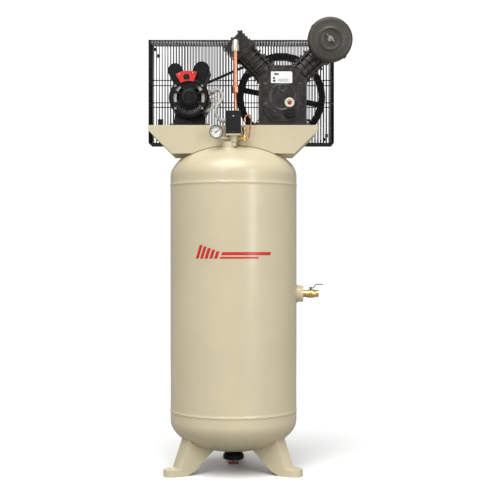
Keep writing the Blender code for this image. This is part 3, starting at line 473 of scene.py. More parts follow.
def tank_mark():
    """A plain mark on the front of the tank: slanted bars over a split stripe, no lettering."""
    z_low = TANK_BASE + 0.643
    lean = 0.35
    film = 0.00035
    bars = [(-0.15 + 0.0195 * i, 0.013, 0.0, 0.052 - 0.006 * i) for i in range(5)]
    bars += [(-0.048, 0.196, 0.013, 0.025), (-0.05, 0.15, 0.0, 0.007)]
    bm = bmesh.new()

    def point(along, height, out):
        angle = -math.pi / 2 + along / TANK_R
        radius = TANK_R + out
        return bm.verts.new((radius * math.cos(angle), radius * math.sin(angle), z_low + height))

    for start, wide, low, high in bars:
        count = max(2, int(wide / 0.006))
        rows = []
        for height, out in ((low, 0.0), (low, film), (high, film), (high, 0.0)):
            rows.append([point(start + wide * i / count + lean * height, height, out)
                         for i in range(count + 1)])
        for a, b in zip(rows, rows[1:] + rows[:1]):
            for i in range(count):
                bm.faces.new((a[i], a[i + 1], b[i + 1], b[i]))
        for end in (0, -1):
            bm.faces.new([row[end] for row in rows])
    piece("tank_mark", bm, MARK_RED, "compressor", angle=40)


receiver()
tank_mark()


# ---- belt guard: welded wire panels, straps, side bars and clips ----
WIRE_R = 0.0017
WIRE_PITCH = 0.0118
WIRE_MARGIN = 0.006               # from the guard's sides to the first and last wire
GUARD_CORNER = 0.014
SHAFT_GAP = 0.03                 # half the width of the opening for the crankshaft
SIDE_WIRES = 12


def guard():
    """The wire cage: two panels, wires all round it, corner bars, clips and the brackets it stands on."""
    low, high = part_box("belt_guard_rear")
    front_low, front_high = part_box("belt_guard_front")
    front, rear = (front_low.y + front_high.y) / 2, (low.y + high.y) / 2
    x0, x1, z0, z1 = low.x, high.x, low.z, high.z
    bars = (z0 + (z1 - z0) * 0.39, z0 + (z1 - z0) * 0.607)
    span = x1 - x0 - 2 * WIRE_MARGIN

    def panel(name, y, inside, gap):
        bm = bmesh.new()
        count = round(span / WIRE_PITCH)
        for i in range(count + 1):
            x = x0 + WIRE_MARGIN + span * i / count
            foot = [(x, y, z0 + GUARD_CORNER), (x, y + inside * 0.004, z0 + 0.004),
                    (x, y + inside * GUARD_CORNER, z0)]
            top = [(x, y, z1 - GUARD_CORNER), (x, y + inside * 0.004, z1 - 0.004),
                   (x, y + inside * GUARD_CORNER, z1)]
            if gap and abs(x - CRANK.x) < SHAFT_GAP:
                swept(bm, foot + [(x, y, CRANK.z - 0.05)], WIRE_R, steps=5)
                swept(bm, [(x, y, CRANK.z + 0.05)] + top, WIRE_R, steps=5)
            else:
                swept(bm, foot + top, WIRE_R, steps=5)
        fixed(name, bm, "black_paint", angle=70)

    panel("guard_wires_front", front, 1, True)
    panel("guard_wires_rear", rear, -1, False)

    bm = bmesh.new()
    for z in (z0, *bars, z1):
        for inset in (0.0,) if z in bars else (GUARD_CORNER, 0.04, 0.075):
            a, b = front + inset + WIRE_R * 2, rear - inset - WIRE_R * 2
            loop = [(x0 + 0.004, a, z), (x1 - 0.004, a, z), (x1, a + 0.004, z), (x1, b - 0.004, z),
                    (x1 - 0.004, b, z), (x0 + 0.004, b, z), (x0, b - 0.004, z), (x0, a + 0.004, z)]
            swept(bm, loop, WIRE_R * 1.15, steps=6, closed=True)
    across = round((x1 - x0) / WIRE_PITCH)
    for z in (z0, z1):
        for i in range(across + 1):
            x = x0 + WIRE_MARGIN + span * i / across
            swept(bm, [(x, front + GUARD_CORNER, z), (x, rear - GUARD_CORNER, z)], WIRE_R, steps=5)
    for x in (x0, x1):
        for i in range(SIDE_WIRES + 1):
            y = front + (rear - front) * i / SIDE_WIRES
            swept(bm, [(x, y, z0), (x, y, z1)], WIRE_R, steps=5)
    fixed("guard_wires_returns", bm, "black_paint", angle=70,
          replaces=("belt_guard_front", "belt_guard_rear", "belt_guard_returns"))

    bm = bmesh.new()
    for x in (x0, x1):
        for y in (front, rear):
            swept(bm, [(x, y, z0), (x, y, z1)], 0.003, steps=10)
    for z in (z0, z1):
        for y in (front + GUARD_CORNER, rear - GUARD_CORNER):
            swept(bm, [(x0, y, z), (x1, y, z)], 0.0024, steps=8)
    fixed("guard_side_bars", bm, "black_paint", angle=60)

    bm = bmesh.new()
    clips = [(x0 + 0.026, z1 - 0.04), (x1 - 0.028, z0 + 0.03), (x0 + 0.026, z0 + 0.03),
             (x1 - 0.028, z1 - 0.04)]
    thick = 0.0022
    for x, z in clips:
        for y, out in ((front - 0.0016, -1), (rear + 0.0016, 1)):
            extruded(bm, rect(-0.006, -0.007, 0.006, 0.007),
                     -thick, thick, facing((x, y, z)))
            pan_head(bm, facing((x, y + out * thick, z), (0, out, 0)), 0.0034, 0.0022)
    fixed("guard_clips", bm, "black_plastic", bevel=0.0006)

    bm = bmesh.new()
    foot, back = DECK_HIGH.z, DECK_HIGH.y
    half = 0.011
    for x in (DECK_LOW.x + 0.03, DECK_HIGH.x - 0.03):
        for first, last, top in ((back - 0.04, front + 0.003, 0.003),
                                 (front - 0.003, front - 0.0013, 0.05)):
            extruded(bm, rect(x - half, first, x + half, last),
                     foot + 0.0004, foot + top)
        hex_head(bm, moved(x, back - 0.028, foot + 0.003), 0.011, 0.006)
    fixed("guard_brackets", bm, "black_paint", bevel=0.0005)


guard()


# ---- motor ----
VENT_IN, VENT_OUT = 0.0345, 0.0635
RIM_RIBS = 15


def motor():
    """The motor's shell and front bell with what shows through it, and its screws."""
    at = facing((MOTOR.x, 0, MOTOR.z))
    radius = 0.079
    front_low, front_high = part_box("motor_bell_front")
    nose, join = -front_low.y, -front_high.y
    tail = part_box("motor_shell")[1].y
    bm = bmesh.new()
    turned(bm, [(0.012, -tail), (0.058, -tail), (0.071, -tail + 0.004), (0.0775, -tail + 0.01),
                (radius, -tail + 0.016), (radius, join - 0.001), (radius - 0.001, join),
                (0.0745, join),
                (0.0745, -0.08), (0.012, -0.092)], steps=72, matrix=at)
    fixed("motor_shell_skin", bm, "black_paint", replaces=("motor_shell",))

    bm = bmesh.new()
    rim = [(0.0745, join), (radius - 0.001, join), (radius, join + 0.0012), (radius, nose - 0.022),
           (0.0775, nose - 0.014), (0.0735, nose - 0.0075), (0.069, nose - 0.0055),
           (0.064, nose - 0.0065),
           (0.0622, nose - 0.01), (0.0622, nose - 0.019), (0.0745, nose - 0.026)]
    turned(bm, rim, steps=72, matrix=at)
    hub = [(0, nose), (0.011, nose), (0.0125, nose - 0.0025), (0.0175, nose - 0.0025),
           (0.019, nose - 0.0008), (0.0265, nose - 0.0014), (0.033, nose - 0.004),
           (0.036, nose - 0.0085), (0.036, nose - 0.019), (0, nose - 0.019)]
    turned(bm, hub, steps=56, matrix=at)

    def sector(first, last, inner, outer, low, high, steps=10):
        extruded(bm, arc(0, 0, outer, first, last, steps) + arc(0, 0, inner, last, first, steps),
                 low, high, at)

    sector(52, 128, VENT_IN, VENT_OUT, nose - 0.019, nose - 0.0075)
    for angle in (24, 156, 205, 335):
        sector(angle - 5, angle + 5, VENT_IN, VENT_OUT, nose - 0.018, nose - 0.0085, 2)
    for i in range(RIM_RIBS):
        angle = 212 + 116 * i / (RIM_RIBS - 1)
        sector(angle - 1.9, angle + 1.9, VENT_IN, 0.064, nose - 0.018, nose - 0.007, 2)
        sector(angle - 2.1, angle + 2.1, 0.0715, 0.08, nose - 0.034, nose - 0.013, 2)
    fixed("motor_bell_skin", bm, "black_paint", bevel=0.0006, replaces=("motor_bell_front",))

    # A near-black disc behind the bell's openings: painted shade inside the motor.
    bm = bmesh.new()
    turned(bm, rect(0.01, 0.088, 0.0735, 0.0895), steps=40, matrix=at)
    fixed("motor_inner_wall", bm, "black_paint", PAINTED_SHADE_INSIDE)
    bm = bmesh.new()
    turned(bm, [(0.046, 0.0905), (0.065, 0.0905), (0.0655, 0.099), (0.062, 0.103), (0.05, 0.103),
                (0.0462, 0.099)], steps=56, matrix=at)
    fixed("motor_coil_ring", bm, "aluminium")
    bolt_out = 0.0685
    turns = [math.radians(angle) for angle in (40, 140, 220, 320)]
    hex_heads("motor_bolts", [moved(bolt_out * math.cos(a), bolt_out * math.sin(a),
                                    nose - 0.0062, at)
                              for a in turns], 0.0065, 0.004, 0.0003, look=WEATHERED)

    cover_front = -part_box("terminal_cover")[0].y
    bm = bmesh.new()
    for angle, out in ((80, 0.094), (113, 0.094), (96, 0.068)):
        a = math.radians(angle)
        pan_head(bm, moved(out * math.cos(a), out * math.sin(a), cover_front, at),
                 0.003, 0.0016)
    fixed("terminal_screws", bm, "steel", WEATHERED)
    button = middle("reset_button")
    bm = bmesh.new()
    turned(bm, [(0.0094, cover_front), (0.0125, cover_front), (0.0118, cover_front + 0.0014),
                (0.0098, cover_front + 0.0016)], steps=32, matrix=facing((button.x, 0, button.z)))
    fixed("reset_bezel", bm, "black_plastic")
    bm = bmesh.new()
    for first, last in ((73.5, 86.5), (105.5, 118.5)):
        extruded(bm, arc(0, 0, 0.0995, first, last, 4) + arc(0, 0, 0.0965, last, first, 4),
                 cover_front - 0.0012, cover_front + 0.0009, at)
    fixed("terminal_ribs", bm, "red_plate", bevel=0.0003)

    low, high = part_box("motor_base")
    hex_heads("motor_foot_bolts", [moved(x, y, DECK_HIGH.z + 0.0056)
                                   for x in (low.x + 0.012, high.x - 0.012)
                                   for y in (low.y + 0.016, high.y - 0.016)],
              0.01, 0.0058, 0.0004, look=WEATHERED)


# ---- pump ----
def rounded_outline(corners, radius, steps=5):
    """A closed outline with its corners rounded."""
    result = []
    count = len(corners)
    for i in range(count):
        corner = Vector(corners[i])
        a = (Vector(corners[i - 1]) - corner).normalized()
        b = (Vector(corners[(i + 1) % count]) - corner).normalized()
        half = a.angle(b) / 2
        reach = radius / math.tan(half)
        first, last = corner + a * reach, corner + b * reach
        for k in range(steps + 1):
            t = k / steps
            point = first * (1 - t) ** 2 + corner * (2 * t * (1 - t)) + last * t ** 2
            result.append((point.x, point.y))
    return result


COVER_OUTLINE = [(-0.078, -0.085), (-0.045, -0.128), (0.045, -0.128), (0.078, -0.085), (0.078, 0.03),
                 (0.04, 0.08), (-0.04, 0.08), (-0.078, 0.03)]
COVER_SCREWS = ((0.068, 0.013), (-0.068, 0.013), (0.07, -0.066), (-0.07, -0.066), (0.0, -0.116),
                (0.034, 0.0715), (-0.034, 0.0715))


def pump_cover():
    """The cover's raised panel, rings and rib, its screws, the drain plug and the label."""
    at = facing((CRANK.x, 0, CRANK.z))
    back = -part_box("crankcase_cover")[1].y
    face = back + 0.01
    bm = bmesh.new()
    flange = rounded_outline(COVER_OUTLINE, 0.01)
    extruded(bm, flange, back, face - 0.0035, at)
    inner = [(x * 0.8, (z + 0.024) * 0.82 - 0.024) for x, z in COVER_OUTLINE]
    extruded(bm, rounded_outline(inner, 0.012), face - 0.0045, face - 0.0005, at)
    for x, z in COVER_SCREWS:
        turned(bm, [(0, face - 0.0045), (0.01, face - 0.0045), (0.0092, face - 0.0012),
                    (0, face - 0.0012)], steps=24, matrix=moved(x, z, 0, at))
    bowl = moved(-0.002, -0.034, 0, at)
    turned(bm, [(0, face - 0.004), (0.0535, face - 0.004), (0.0535, face + 0.0012),
                (0.0505, face + 0.0024),
                (0.0475, face + 0.001), (0.044, face - 0.0002), (0.03, face + 0.0012),
                (0, face + 0.0022)], steps=64, matrix=bowl)
    turned(bm, [(0, face - 0.003), (0.018, face - 0.003), (0.018, face + 0.0034),
                (0.0168, face + 0.004),
                (0.011, face + 0.004), (0.01, face + 0.0026), (0, face + 0.0026)], steps=40,
           matrix=at)
    rib = [(-0.0035, 0.012), (0.0035, 0.012), (0.0045, 0.078), (-0.0045, 0.078)]
    extruded(bm, rib, face - 0.002, face + 0.0012, at)
    fixed("pump_cover_skin", bm, "pump_iron", bevel=0.001, replaces=("crankcase_cover",))

    hex_heads("pump_cover_screws", [moved(x, z, face - 0.0012, at) for x,
                                    z in COVER_SCREWS],
              0.01, 0.0056, 0.0004, "pump_iron")
    bm = bmesh.new()
    plug = moved(-0.031, -0.099, face - 0.001, at)
    turned(bm, [(0, 0), (0.0135, 0), (0.013, 0.003), (0, 0.003)], steps=32, matrix=plug)
    hex_head(bm, moved(0, 0, 0.0028, plug), 0.018, 0.008, washer=False)
    fixed("oil_drain_plug", bm, "pump_iron", bevel=0.0005)

    bm = bmesh.new()
    plate = rounded_outline(rect(-0.047, 0.02, 0.037, 0.066), 0.004)
    extruded(bm, plate, face + 0.0006, face + 0.0018, at)
    fixed("pump_label", bm, "gauge_white", LABEL_WHITE, bevel=0.0003)
    bm = bmesh.new()
    for x, z, wide, high in ((-0.039, 0.025, 0.01, 0.008), (-0.039, 0.036, 0.009, 0.008),
                             (-0.034, 0.052, 0.018, 0.007), (-0.02, 0.027, 0.046, 0.0012),
                             (-0.02, 0.031, 0.04, 0.0012), (-0.02, 0.035, 0.044, 0.0012)):
        extruded(bm, rect(x, z, x + wide, z + high),
                 face + 0.0016, face + 0.002, at)
    fixed("pump_label_marks", bm, "black_plastic", LABEL_GREY)


def pump_case():
    """The case's front lip and side ribs, its foot and the foot's bolts."""
    at = facing((CRANK.x, 0, CRANK.z))
    foot = DECK_HIGH.z + 0.0003 - CRANK.z
    front = -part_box("crankcase")[0].y
    half, notch = 0.091, 0.0306
    lip = [(-half - 0.002, foot + 0.01), (half + 0.002, foot + 0.01), (half + 0.002, notch + 0.001),
           (notch + 0.001, half + 0.002), (-notch - 0.001, half + 0.002), (-half - 0.002, notch + 0.001)]
    bm = bmesh.new()
    outer = rounded_outline(lip, 0.008)
    inner = [(x * 0.88, (z + 0.027) * 0.88 - 0.027) for x, z in outer]
    join_loops(bm, [[bm.verts.new(at @ Vector((x, z, y))) for x, z in ring]
                    for ring, y in ((outer, front - 0.012), (outer, front - 0.0004),
                                    (inner, front - 0.0004), (inner, front - 0.012))])
    for x in (-1, 1):
        rib = [(x * half, foot + 0.012), (x * (half + 0.0045), foot + 0.012),
               (x * (half + 0.0045), notch - 0.02), (x * half, notch - 0.012)]
        for first, last in ((0.045, 0.04), (0.105, 0.1)):
            extruded(bm, rib, front - first, front - last, at)
    fixed("pump_case_lip", bm, "pump_iron", bevel=0.001)

    bm = bmesh.new()
    low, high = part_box("crankcase")
    wide = 0.015
    pad = rounded_outline(rect(low.x - wide, low.y + 0.004, high.x + wide, high.y - 0.004), 0.012)
    extruded(bm, pad, DECK_HIGH.z + 0.0003, DECK_HIGH.z + 0.0115)
    fixed("pump_foot", bm, "pump_iron", bevel=0.0018)
    hex_heads("pump_foot_bolts", [moved(x, y, DECK_HIGH.z + 0.0115)
                                  for x in (low.x - 0.0065, high.x + 0.0065)
                                  for y in (low.y + 0.018, high.y - 0.018)],
              0.0125, 0.0085, 0.0004, look=WEATHERED)


def bored_plate(bm, outline, hole, low, high, matrix):
    """A flat plate along local Z with a round hole at its middle."""
    edge = []
    for a, b in zip(outline, outline[1:] + outline[:1]):
        count = max(1, round(math.dist(a, b) / 0.005))
        edge += [(a[0] + (b[0] - a[0]) * i / count, a[1] + (b[1] - a[1]) * i / count)
                 for i in range(count)]
    inner = [(x * hole / math.hypot(x, y), y * hole / math.hypot(x, y)) for x, y in edge]
    join_loops(bm, [[bm.verts.new(matrix @ Vector((x, y, z))) for x, y in ring]
                    for ring, z in ((edge, low), (edge, high), (inner, high), (inner, low))])


FLANGE_HALF = 0.047
STUD_OUT = 0.0335
HEAD_GRID = [(x, y) for x in (-0.038, 0.0, 0.038) for y in (-0.038, 0.0, 0.038) if x or y]


def banks():
    """On each bank a barrel flange with its studs, and the head's bolts on their seats."""
    for side, sign in (("left", -1), ("right", 1)):
        barrel = middle("cylinder_" + side)
        axis = (sign * math.sqrt(0.5), 0, math.sqrt(0.5))
        at = facing((CRANK.x, barrel.y, CRANK.z), axis, (0, 1, 0))
        bm = bmesh.new()
        flange = rounded_outline(rect(-FLANGE_HALF, -FLANGE_HALF, FLANGE_HALF, FLANGE_HALF), 0.012)
        bored_plate(bm, flange, BARREL_HOLE, 0.0895, 0.0975, at)
        for x in (-STUD_OUT, STUD_OUT):
            for y in (-STUD_OUT, STUD_OUT):
                turned(bm, rect(0, 0.097, 0.0042, 0.206), steps=12,
                       matrix=moved(x, y, 0, at))
                hex_head(bm, moved(x, y, 0.0975, at), 0.011, 0.008)
        fixed("barrel_flange_" + side, bm, "pump_iron", bevel=0.0005)

        top = (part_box("cylinder_head_" + side)[1].z - CRANK.z) * math.sqrt(2) - 0.0495
        bm = bmesh.new()
        for x, y in HEAD_GRID:
            turned(bm, [(0, top - 0.004), (0.0085, top - 0.004), (0.008, top + 0.0015),
                        (0, top + 0.0015)],
                   steps=18, matrix=moved(x, y, 0, at))
        fixed("head_seats_" + side, bm, "pump_iron", bevel=0.0005)
        hex_heads("head_bolts_" + side, [moved(x, y, top + 0.0012, at) for x,
                                         y in HEAD_GRID],
                  0.01, 0.0066, 0.0004, "pump_iron")


def flywheel_nut():
    """The nut and collar that hold the flywheel; they turn with the crank."""
    at = facing((WHEEL.x, 0, WHEEL.z), (0, 1, 0))
    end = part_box("crankshaft")[1].y
    bm = bmesh.new()
    turned(bm, [(0.0182, 0.1885), (0.029, 0.1885), (0.028, 0.1925), (0.0182, 0.1925)], steps=40,
           matrix=at)
    turned(bm, [(0.0182, 0.1925), (0.0262, 0.1925), (0.0262, end - 0.005), (0.0236, end - 0.0025),
                (0.0182, end - 0.0025)], steps=6, matrix=at)
    piece("flywheel_nut", bm, LOOK["steel"], "crank", "steel", bevel=0.0005)


motor()
pump_cover()
pump_case()
banks()
flywheel_nut()


# ---- intake filter ----
PLEATS = 72


def intake_filter():
    """The filter's pressed cover, washer, pleated element and rim lugs."""
    at = facing((FILTER.x, 0, FILTER.z))
    low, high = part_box("filter_cover")
    front, back = -low.y, -high.y
    radius = (high.x - low.x) / 2
    profile = [(0.009, front - 0.0046), (0.015, front - 0.0044), (0.024, front - 0.004),
               (0.0345, front - 0.004), (0.0375, front - 0.0026), (0.0395, front - 0.0003),
               (0.042, front), (0.044, front - 0.0006), (0.0462, front - 0.003),
               (0.049, front - 0.004), (0.072, front - 0.0042), (radius - 0.0075, front - 0.005),
               (radius - 0.003, front - 0.0078), (radius - 0.0006, front - 0.0125),
               (radius - 0.0002, front - 0.02), (radius - 0.0012, front - 0.0215),
               (radius - 0.0012, back + 0.0062), (radius, back + 0.0048), (radius, back + 0.0012),
               (radius - 0.0012, back), (radius - 0.0035, back), (radius - 0.0035, front - 0.015),
               (radius - 0.009, front - 0.009), (0.009, front - 0.007)]
    bm = bmesh.new()
    turned(bm, profile, steps=96, matrix=at)
    fixed("filter_cover_skin", bm, "black_plastic", FILTER_BLACK, replaces=("filter_cover",), angle=50)
    bm = bmesh.new()
    turned(bm, [(0.0038, front - 0.0046), (0.012, front - 0.0046), (0.0112, front - 0.0022),
                (0.0038, front - 0.0022)], steps=32, matrix=at)
    fixed("filter_washer", bm, "steel")

    low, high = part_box("filter_element")
    outline = []
    for i in range(2 * PLEATS):
        a = math.pi * i / PLEATS
        r = 0.0695 if i % 2 else 0.064
        outline.append((r * math.cos(a), r * math.sin(a)))
    bm = bmesh.new()
    extruded(bm, outline, -high.y + 0.002, -low.y - 0.002, at)
    turned(bm, rect(0.0495, -high.y, 0.0705, -high.y + 0.003),
           steps=64, matrix=at)
    fixed("filter_element_pleats", bm, "filter_paper", angle=20, replaces=("filter_element",))

    bm = bmesh.new()
    for angle in (140, -47, 40, 222):
        turn = at @ Matrix.Rotation(math.radians(angle), 4, "Z")
        extruded(bm, [(0.08, -0.009), (0.0905, -0.006), (0.0905, 0.006), (0.08, 0.009)],
                 back - 0.01, back + 0.01, turn)
    fixed("filter_lugs", bm, "black_plastic", FILTER_BLACK, bevel=0.0014)


# ---- gauge, switch and controls ----
GAUGE_STEPS = 30
CAP_RIDGES = 24


def gauge():
    """The gauge's bezel, ticks, hub and red arc."""
    low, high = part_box("gauge_case")
    front = -low.y
    at = facing((GAUGE.x, 0, GAUGE.z))
    radius = (high.x - low.x) / 2
    bm = bmesh.new()
    turned(bm, [(radius - 0.003, front - 0.006), (radius + 0.0004, front - 0.006),
                (radius + 0.001, front - 0.004), (radius + 0.001, front - 0.0008),
                (radius - 0.0002, front + 0.0004), (radius - 0.002, front + 0.0002),
                (radius - 0.0032, front - 0.0022)], steps=64, matrix=at)
    fixed("gauge_bezel", bm, "black_plastic", angle=50)
    dial = front - 0.0069
    bm = bmesh.new()
    for i in range(GAUGE_STEPS + 1):
        angle = math.radians(225 - 270 * i / GAUGE_STEPS)
        major = i % 5 == 0
        wide = 0.0007 if major else 0.0003
        inner = 0.0155 if major else 0.0172
        turn = at @ Matrix.Rotation(angle, 4, "Z")
        extruded(bm, rect(inner, -wide, 0.019, wide), dial - 0.0004,
                 dial + 0.0002, turn)
    turned(bm, [(0, dial), (0.0026, dial), (0.0026, dial + 0.0022), (0, dial + 0.0026)], steps=20,
           matrix=at)
    fixed("gauge_ticks", bm, "black_plastic", LABEL_GREY)
    bm = bmesh.new()
    extruded(bm, arc(0, 0, 0.0192, 5, -45, 12) + arc(0, 0, 0.0178, -45, 5, 12), dial - 0.0004,
             dial + 0.0001, at)
    fixed("gauge_red_arc", bm, "gauge_white", MARK_RED)


def switch():
    """The pressure switch's screw, skirt and ribs."""
    front = SWITCH_LOW.y
    mid_x = (SWITCH_LOW.x + SWITCH_HIGH.x) / 2
    bm = bmesh.new()
    pan_head(bm, facing((mid_x, front, SWITCH_HIGH.z - 0.022)), 0.0034, 0.0018)
    fixed("switch_screw", bm, "steel", WEATHERED)
    bm = bmesh.new()
    grow = 0.001
    x0, y0 = SWITCH_LOW.x - grow, SWITCH_LOW.y - grow
    x1, y1 = SWITCH_HIGH.x + grow, SWITCH_HIGH.y + grow
    ring = rounded_outline(rect(x0, y0, x1, y1), 0.004)
    extruded(bm, ring, SWITCH_LOW.z + 0.0004, SWITCH_LOW.z + 0.0068)
    fixed("switch_skirt", bm, "black_plastic", bevel=0.0008)
    bm = bmesh.new()
    for z in (SWITCH_LOW.z + 0.02, SWITCH_LOW.z + 0.0235, SWITCH_LOW.z + 0.027):
        extruded(bm, rect(mid_x - 0.016, z, mid_x + 0.016, z + 0.0014), -front - 0.001, -front + 0.0007,
                 facing((0, 0, 0)))
    fixed("switch_ribs", bm, "black_plastic", bevel=0.0003)


def smooth_route(points, steps=8):
    """A smooth curve through a list of points."""
    ends = [points[0], *points, points[-1]]
    result = []
    for i in range(1, len(ends) - 2):
        a, b, c, d = (Vector(p) for p in ends[i - 1:i + 3])
        for k in range(steps):
            t = k / steps
            result.append(0.5 * (2 * b + (c - a) * t + (2 * a - 5 * b + 4 * c - d) * t ** 2
                                 + (3 * b - a - 3 * c + d) * t ** 3))
    result.append(Vector(points[-1]))
    return result


CONDUIT = [(-0.0795, -0.07, 1.507), (-0.058, -0.078, 1.512), (-0.043, -0.1, 1.49),
           (-0.046, -0.125, 1.463), (-0.063, -0.142, 1.44), (-0.067, -0.15, 1.41),
           (-0.048, -0.15, 1.3825), (-0.0282, -0.15, 1.3815)]


def conduit():
    """The motor's ribbed conduit with its glands, and three leads."""
    route = smooth_route(CONDUIT, 16)
    radii = [0.007 if i % 2 else 0.0058 for i in range(len(route))]
    bm = bmesh.new()
    swept(bm, route, radii, steps=18)
    start, after = Vector(CONDUIT[0]), Vector(CONDUIT[1])
    at = facing(start, after - start, (0, 0, 1))
    turned(bm, [(0, -0.015), (0.0095, -0.015), (0.0095, -0.004), (0.0085, 0.006), (0, 0.006)],
           steps=28,
           matrix=at)
    turned(bm, rect(0, -0.006, 0.0118, 0.002), steps=6, matrix=at)
    end = facing(CONDUIT[-1], (1, 0, 0), (0, 0, 1))
    turned(bm, [(0, -0.013), (0.0085, -0.013), (0.0096, -0.005), (0.0096, -0.0002), (0, -0.0002)],
           steps=28, matrix=end)
    fixed("motor_conduit_skin", bm, "conduit_grey", angle=70, replaces=("motor_conduit",))

    wires = (
        [(-0.094, -0.058, 1.49), (-0.078, -0.074, 1.494), (-0.066, -0.092, 1.478),
         (-0.07, -0.106, 1.452),
         (-0.088, -0.11, 1.43), (-0.106, -0.104, 1.425)],
        [(-0.094, -0.04, 1.482), (-0.074, -0.06, 1.478), (-0.064, -0.086, 1.462),
         (-0.076, -0.104, 1.44),
         (-0.096, -0.102, 1.424), (-0.112, -0.096, 1.424)],
        [(-0.095, -0.064, 1.474), (-0.08, -0.082, 1.468), (-0.078, -0.1, 1.448),
         (-0.094, -0.108, 1.432),
         (-0.11, -0.1, 1.432)],
    )
    for index, points in enumerate(wires, 1):
        bm = bmesh.new()
        swept(bm, smooth_route(points, 6), 0.0018, steps=8)
        fixed(f"motor_lead_{index}", bm, "conduit_grey", PALE_WIRE, angle=70)


# ---- sight glass ----
def sight_glass():
    """The sight glass's ring and oil, and the grip of the filler cap."""
    low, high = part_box("oil_sight_glass")
    spot = middle("oil_sight_glass")
    front = -low.y
    at = facing((spot.x, 0, spot.z))
    bm = bmesh.new()
    turned(bm, [(0, front - 0.004), (0.0118, front - 0.0036), (0.0122, front - 0.0006), (0.0132, front),
                (0.0165, front), (0.0185, front - 0.0014), (0.0195, front - 0.004), (0.0195, -high.y),
                (0, -high.y)], steps=56, matrix=at)
    fixed("sight_ring", bm, "sight_window", angle=40, replaces=("oil_sight_glass",))
    bm = bmesh.new()
    turned(bm, [(0, front - 0.0042), (0.0085, front - 0.0042), (0.0082, front - 0.003),
                (0.005, front - 0.0024), (0, front - 0.0022)], steps=40,
           matrix=moved(0, -0.0006, 0, at))
    fixed("sight_oil", bm, "sight_window", AMBER, angle=60)
    cap = middle("oil_filler_cap")
    top = -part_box("oil_filler_cap")[0].y
    bm = bmesh.new()
    at = facing((cap.x, 0, cap.z))
    for i in range(CAP_RIDGES):
        turn = at @ Matrix.Rotation(2 * math.pi * i / CAP_RIDGES, 4, "Z")
        extruded(bm, [(0.0186, -0.0011), (0.0202, -0.0007), (0.0202, 0.0007), (0.0186, 0.0011)],
                 top - 0.0125, top - 0.0028, turn)
    extruded(bm, rounded_outline(rect(-0.0125, -0.0028, 0.0125, 0.0028), 0.0024), top - 0.001,
             top + 0.0034, at)
    piece("oil_cap_grip", bm, LOOK["black_plastic"], "oil_cap", "black_plastic", bevel=0.0003)


intake_filter()
gauge()
switch()
conduit()
sight_glass()


# ---- every CAD node that is not rebuilt above, with its edges rounded ----
BEVELS = {
    "leg_left": 0.0014, "leg_right": 0.0014, "leg_rear": 0.0014, "deck": 0.0009,
    "crankcase": 0.003, "flywheel": 0.002, "motor_pulley": 0.0012,
    "cylinder_left": 0.0008, "cylinder_right": 0.0008, "cylinder_head_left": 0.0012,
    "cylinder_head_right": 0.0012, "switch_cover": 0.003, "motor_base": 0.001,
    "manifold": 0.0022, "discharge_elbow": 0.0015, "outlet_valve_body": 0.001,
    "outlet_valve_lever": 0.0008, "drain_valve": 0.0008, "drain_tee": 0.001, "drain_skirt": 0.0012,
    "terminal_cover": 0.0008, "oil_filler_cap": 0.0012, "check_valve": 0.001,
    "relief_valve": 0.0006, "filter_wing_nut": 0.0008, "drive_belt": 0.001,
}
PLAIN_BEVEL = 0.0005
for node in sorted(frame["nodes"]):
    if not frame["nodes"][node].hide_render:
        # The discharge elbow takes the pale metal, whose brightness is partly painted highlight.
        finished(node, BEVELS.get(node, PLAIN_BEVEL), PALE_METAL_AND_HIGHLIGHT if node == "discharge_elbow" else None)


# ---- floor, light and camera ----
SKY = 0.36
SEEN_SKY = 1.05                   # a little over white, so that the backdrop clips
FLOOR_HALF = 40.0
FLOOR_BOUNCE = (0.34, 0.335, 0.32, 1.0)
WHITE = (1.0, 1.0, 1.0, 1.0)


def dim_bounce(material):
    """The floor throws less light back at the object than it shows."""
    tree = material.node_tree
    colour = tree.nodes["Principled BSDF"].inputs["Base Color"]
    shown = colour.links[0].from_socket
    ray = tree.nodes.new("ShaderNodeLightPath")
    mix = tree.nodes.new("ShaderNodeMix")
    mix.data_type = "RGBA"
    mix.inputs[6].default_value = FLOOR_BOUNCE
    tree.links.new(ray.outputs["Is Camera Ray"], mix.inputs["Factor"])
    tree.links.new(shown, mix.inputs[7])
    tree.links.new(mix.outputs[2], colour)


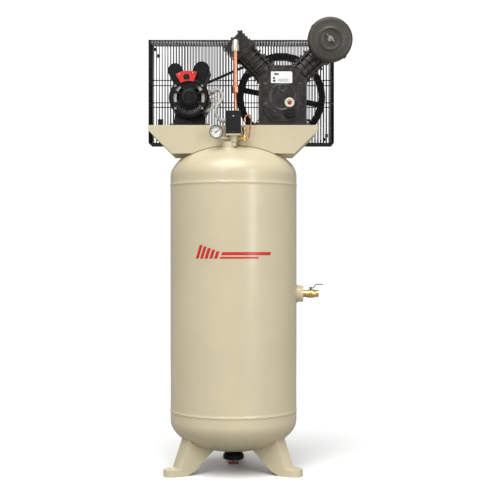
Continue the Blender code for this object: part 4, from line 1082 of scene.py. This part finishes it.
def studio():
    """A wide pale floor under an even white sky."""
    bm = bmesh.new()
    bm.faces.new([bm.verts.new((x, y, 0.0))
                  for x, y in rect(-FLOOR_HALF, -FLOOR_HALF, FLOOR_HALF, FLOOR_HALF)])
    mesh = bpy.data.meshes.new("studio_floor")
    bm.to_mesh(mesh)
    bm.free()
    floor = bpy.data.objects.new("studio_floor", mesh)
    bpy.context.scene.collection.objects.link(floor)
    white = finish("studio_white", (0.95, 0.95, 0.95), 0.75, vary=0.01, patch=0.6, grain=90.0, bump=0.02,
                   shine=0.2)
    dim_bounce(white)
    mesh.materials.append(white)
    world = bpy.data.worlds.new("studio_air")
    bpy.context.scene.world = world
    world.use_nodes = True
    tree = world.node_tree
    air = tree.nodes["Background"]
    air.inputs["Color"].default_value = WHITE
    air.inputs["Strength"].default_value = SKY
    seen = tree.nodes.new("ShaderNodeBackground")
    seen.inputs["Color"].default_value = WHITE
    seen.inputs["Strength"].default_value = SEEN_SKY
    ray = tree.nodes.new("ShaderNodeLightPath")
    mix = tree.nodes.new("ShaderNodeMixShader")
    tree.links.new(ray.outputs["Is Camera Ray"], mix.inputs["Fac"])
    tree.links.new(air.outputs["Background"], mix.inputs[1])
    tree.links.new(seen.outputs["Background"], mix.inputs[2])
    tree.links.new(mix.outputs["Shader"], tree.nodes["World Output"].inputs["Surface"])

    lamp = bpy.data.lights.new("daylight", "SUN")
    lamp.energy = 2.9
    lamp.angle = math.radians(50)
    sun = bpy.data.objects.new("daylight", lamp)
    sun.rotation_euler = Vector((0.1, 0.55, -1.0)).to_track_quat("-Z", "Y").to_euler()
    bpy.context.scene.collection.objects.link(sun)


def softbox(name, place, aim, wide, high, power):
    """A rectangular lamp aimed at a point."""
    lamp = bpy.data.lights.new(name, "AREA")
    lamp.shape = "RECTANGLE"
    lamp.size = wide
    lamp.size_y = high
    lamp.energy = power
    obj = bpy.data.objects.new(name, lamp)
    obj.location = place
    obj.rotation_euler = (Vector(aim) - Vector(place)).to_track_quat("-Z", "Y").to_euler()
    bpy.context.scene.collection.objects.link(obj)


studio()
softbox("key", (-1.6, -4.2, 2.8), (0, 0, 1.1), 1.2, 2.0, 30)
softbox("fill", (2.4, -3.6, 1.8), (0, 0, 1.0), 1.0, 2.4, 46)
softbox("rear_fill", (-0.6, 4.2, 2.6), (0, 0, 1.2), 1.6, 2.0, 30)

camera = bpy.data.cameras.new("camera")
camera.lens = 80.7
camera.sensor_width = 36.0
eye = bpy.data.objects.new("camera", camera)
eye.location = (0.066, -4.5, 0.88)
eye.rotation_euler = (math.radians(90), 0.0, 0.0)
bpy.context.scene.collection.objects.link(eye)
bpy.context.scene.camera = eye
bpy.context.scene.view_settings.view_transform = "Standard"
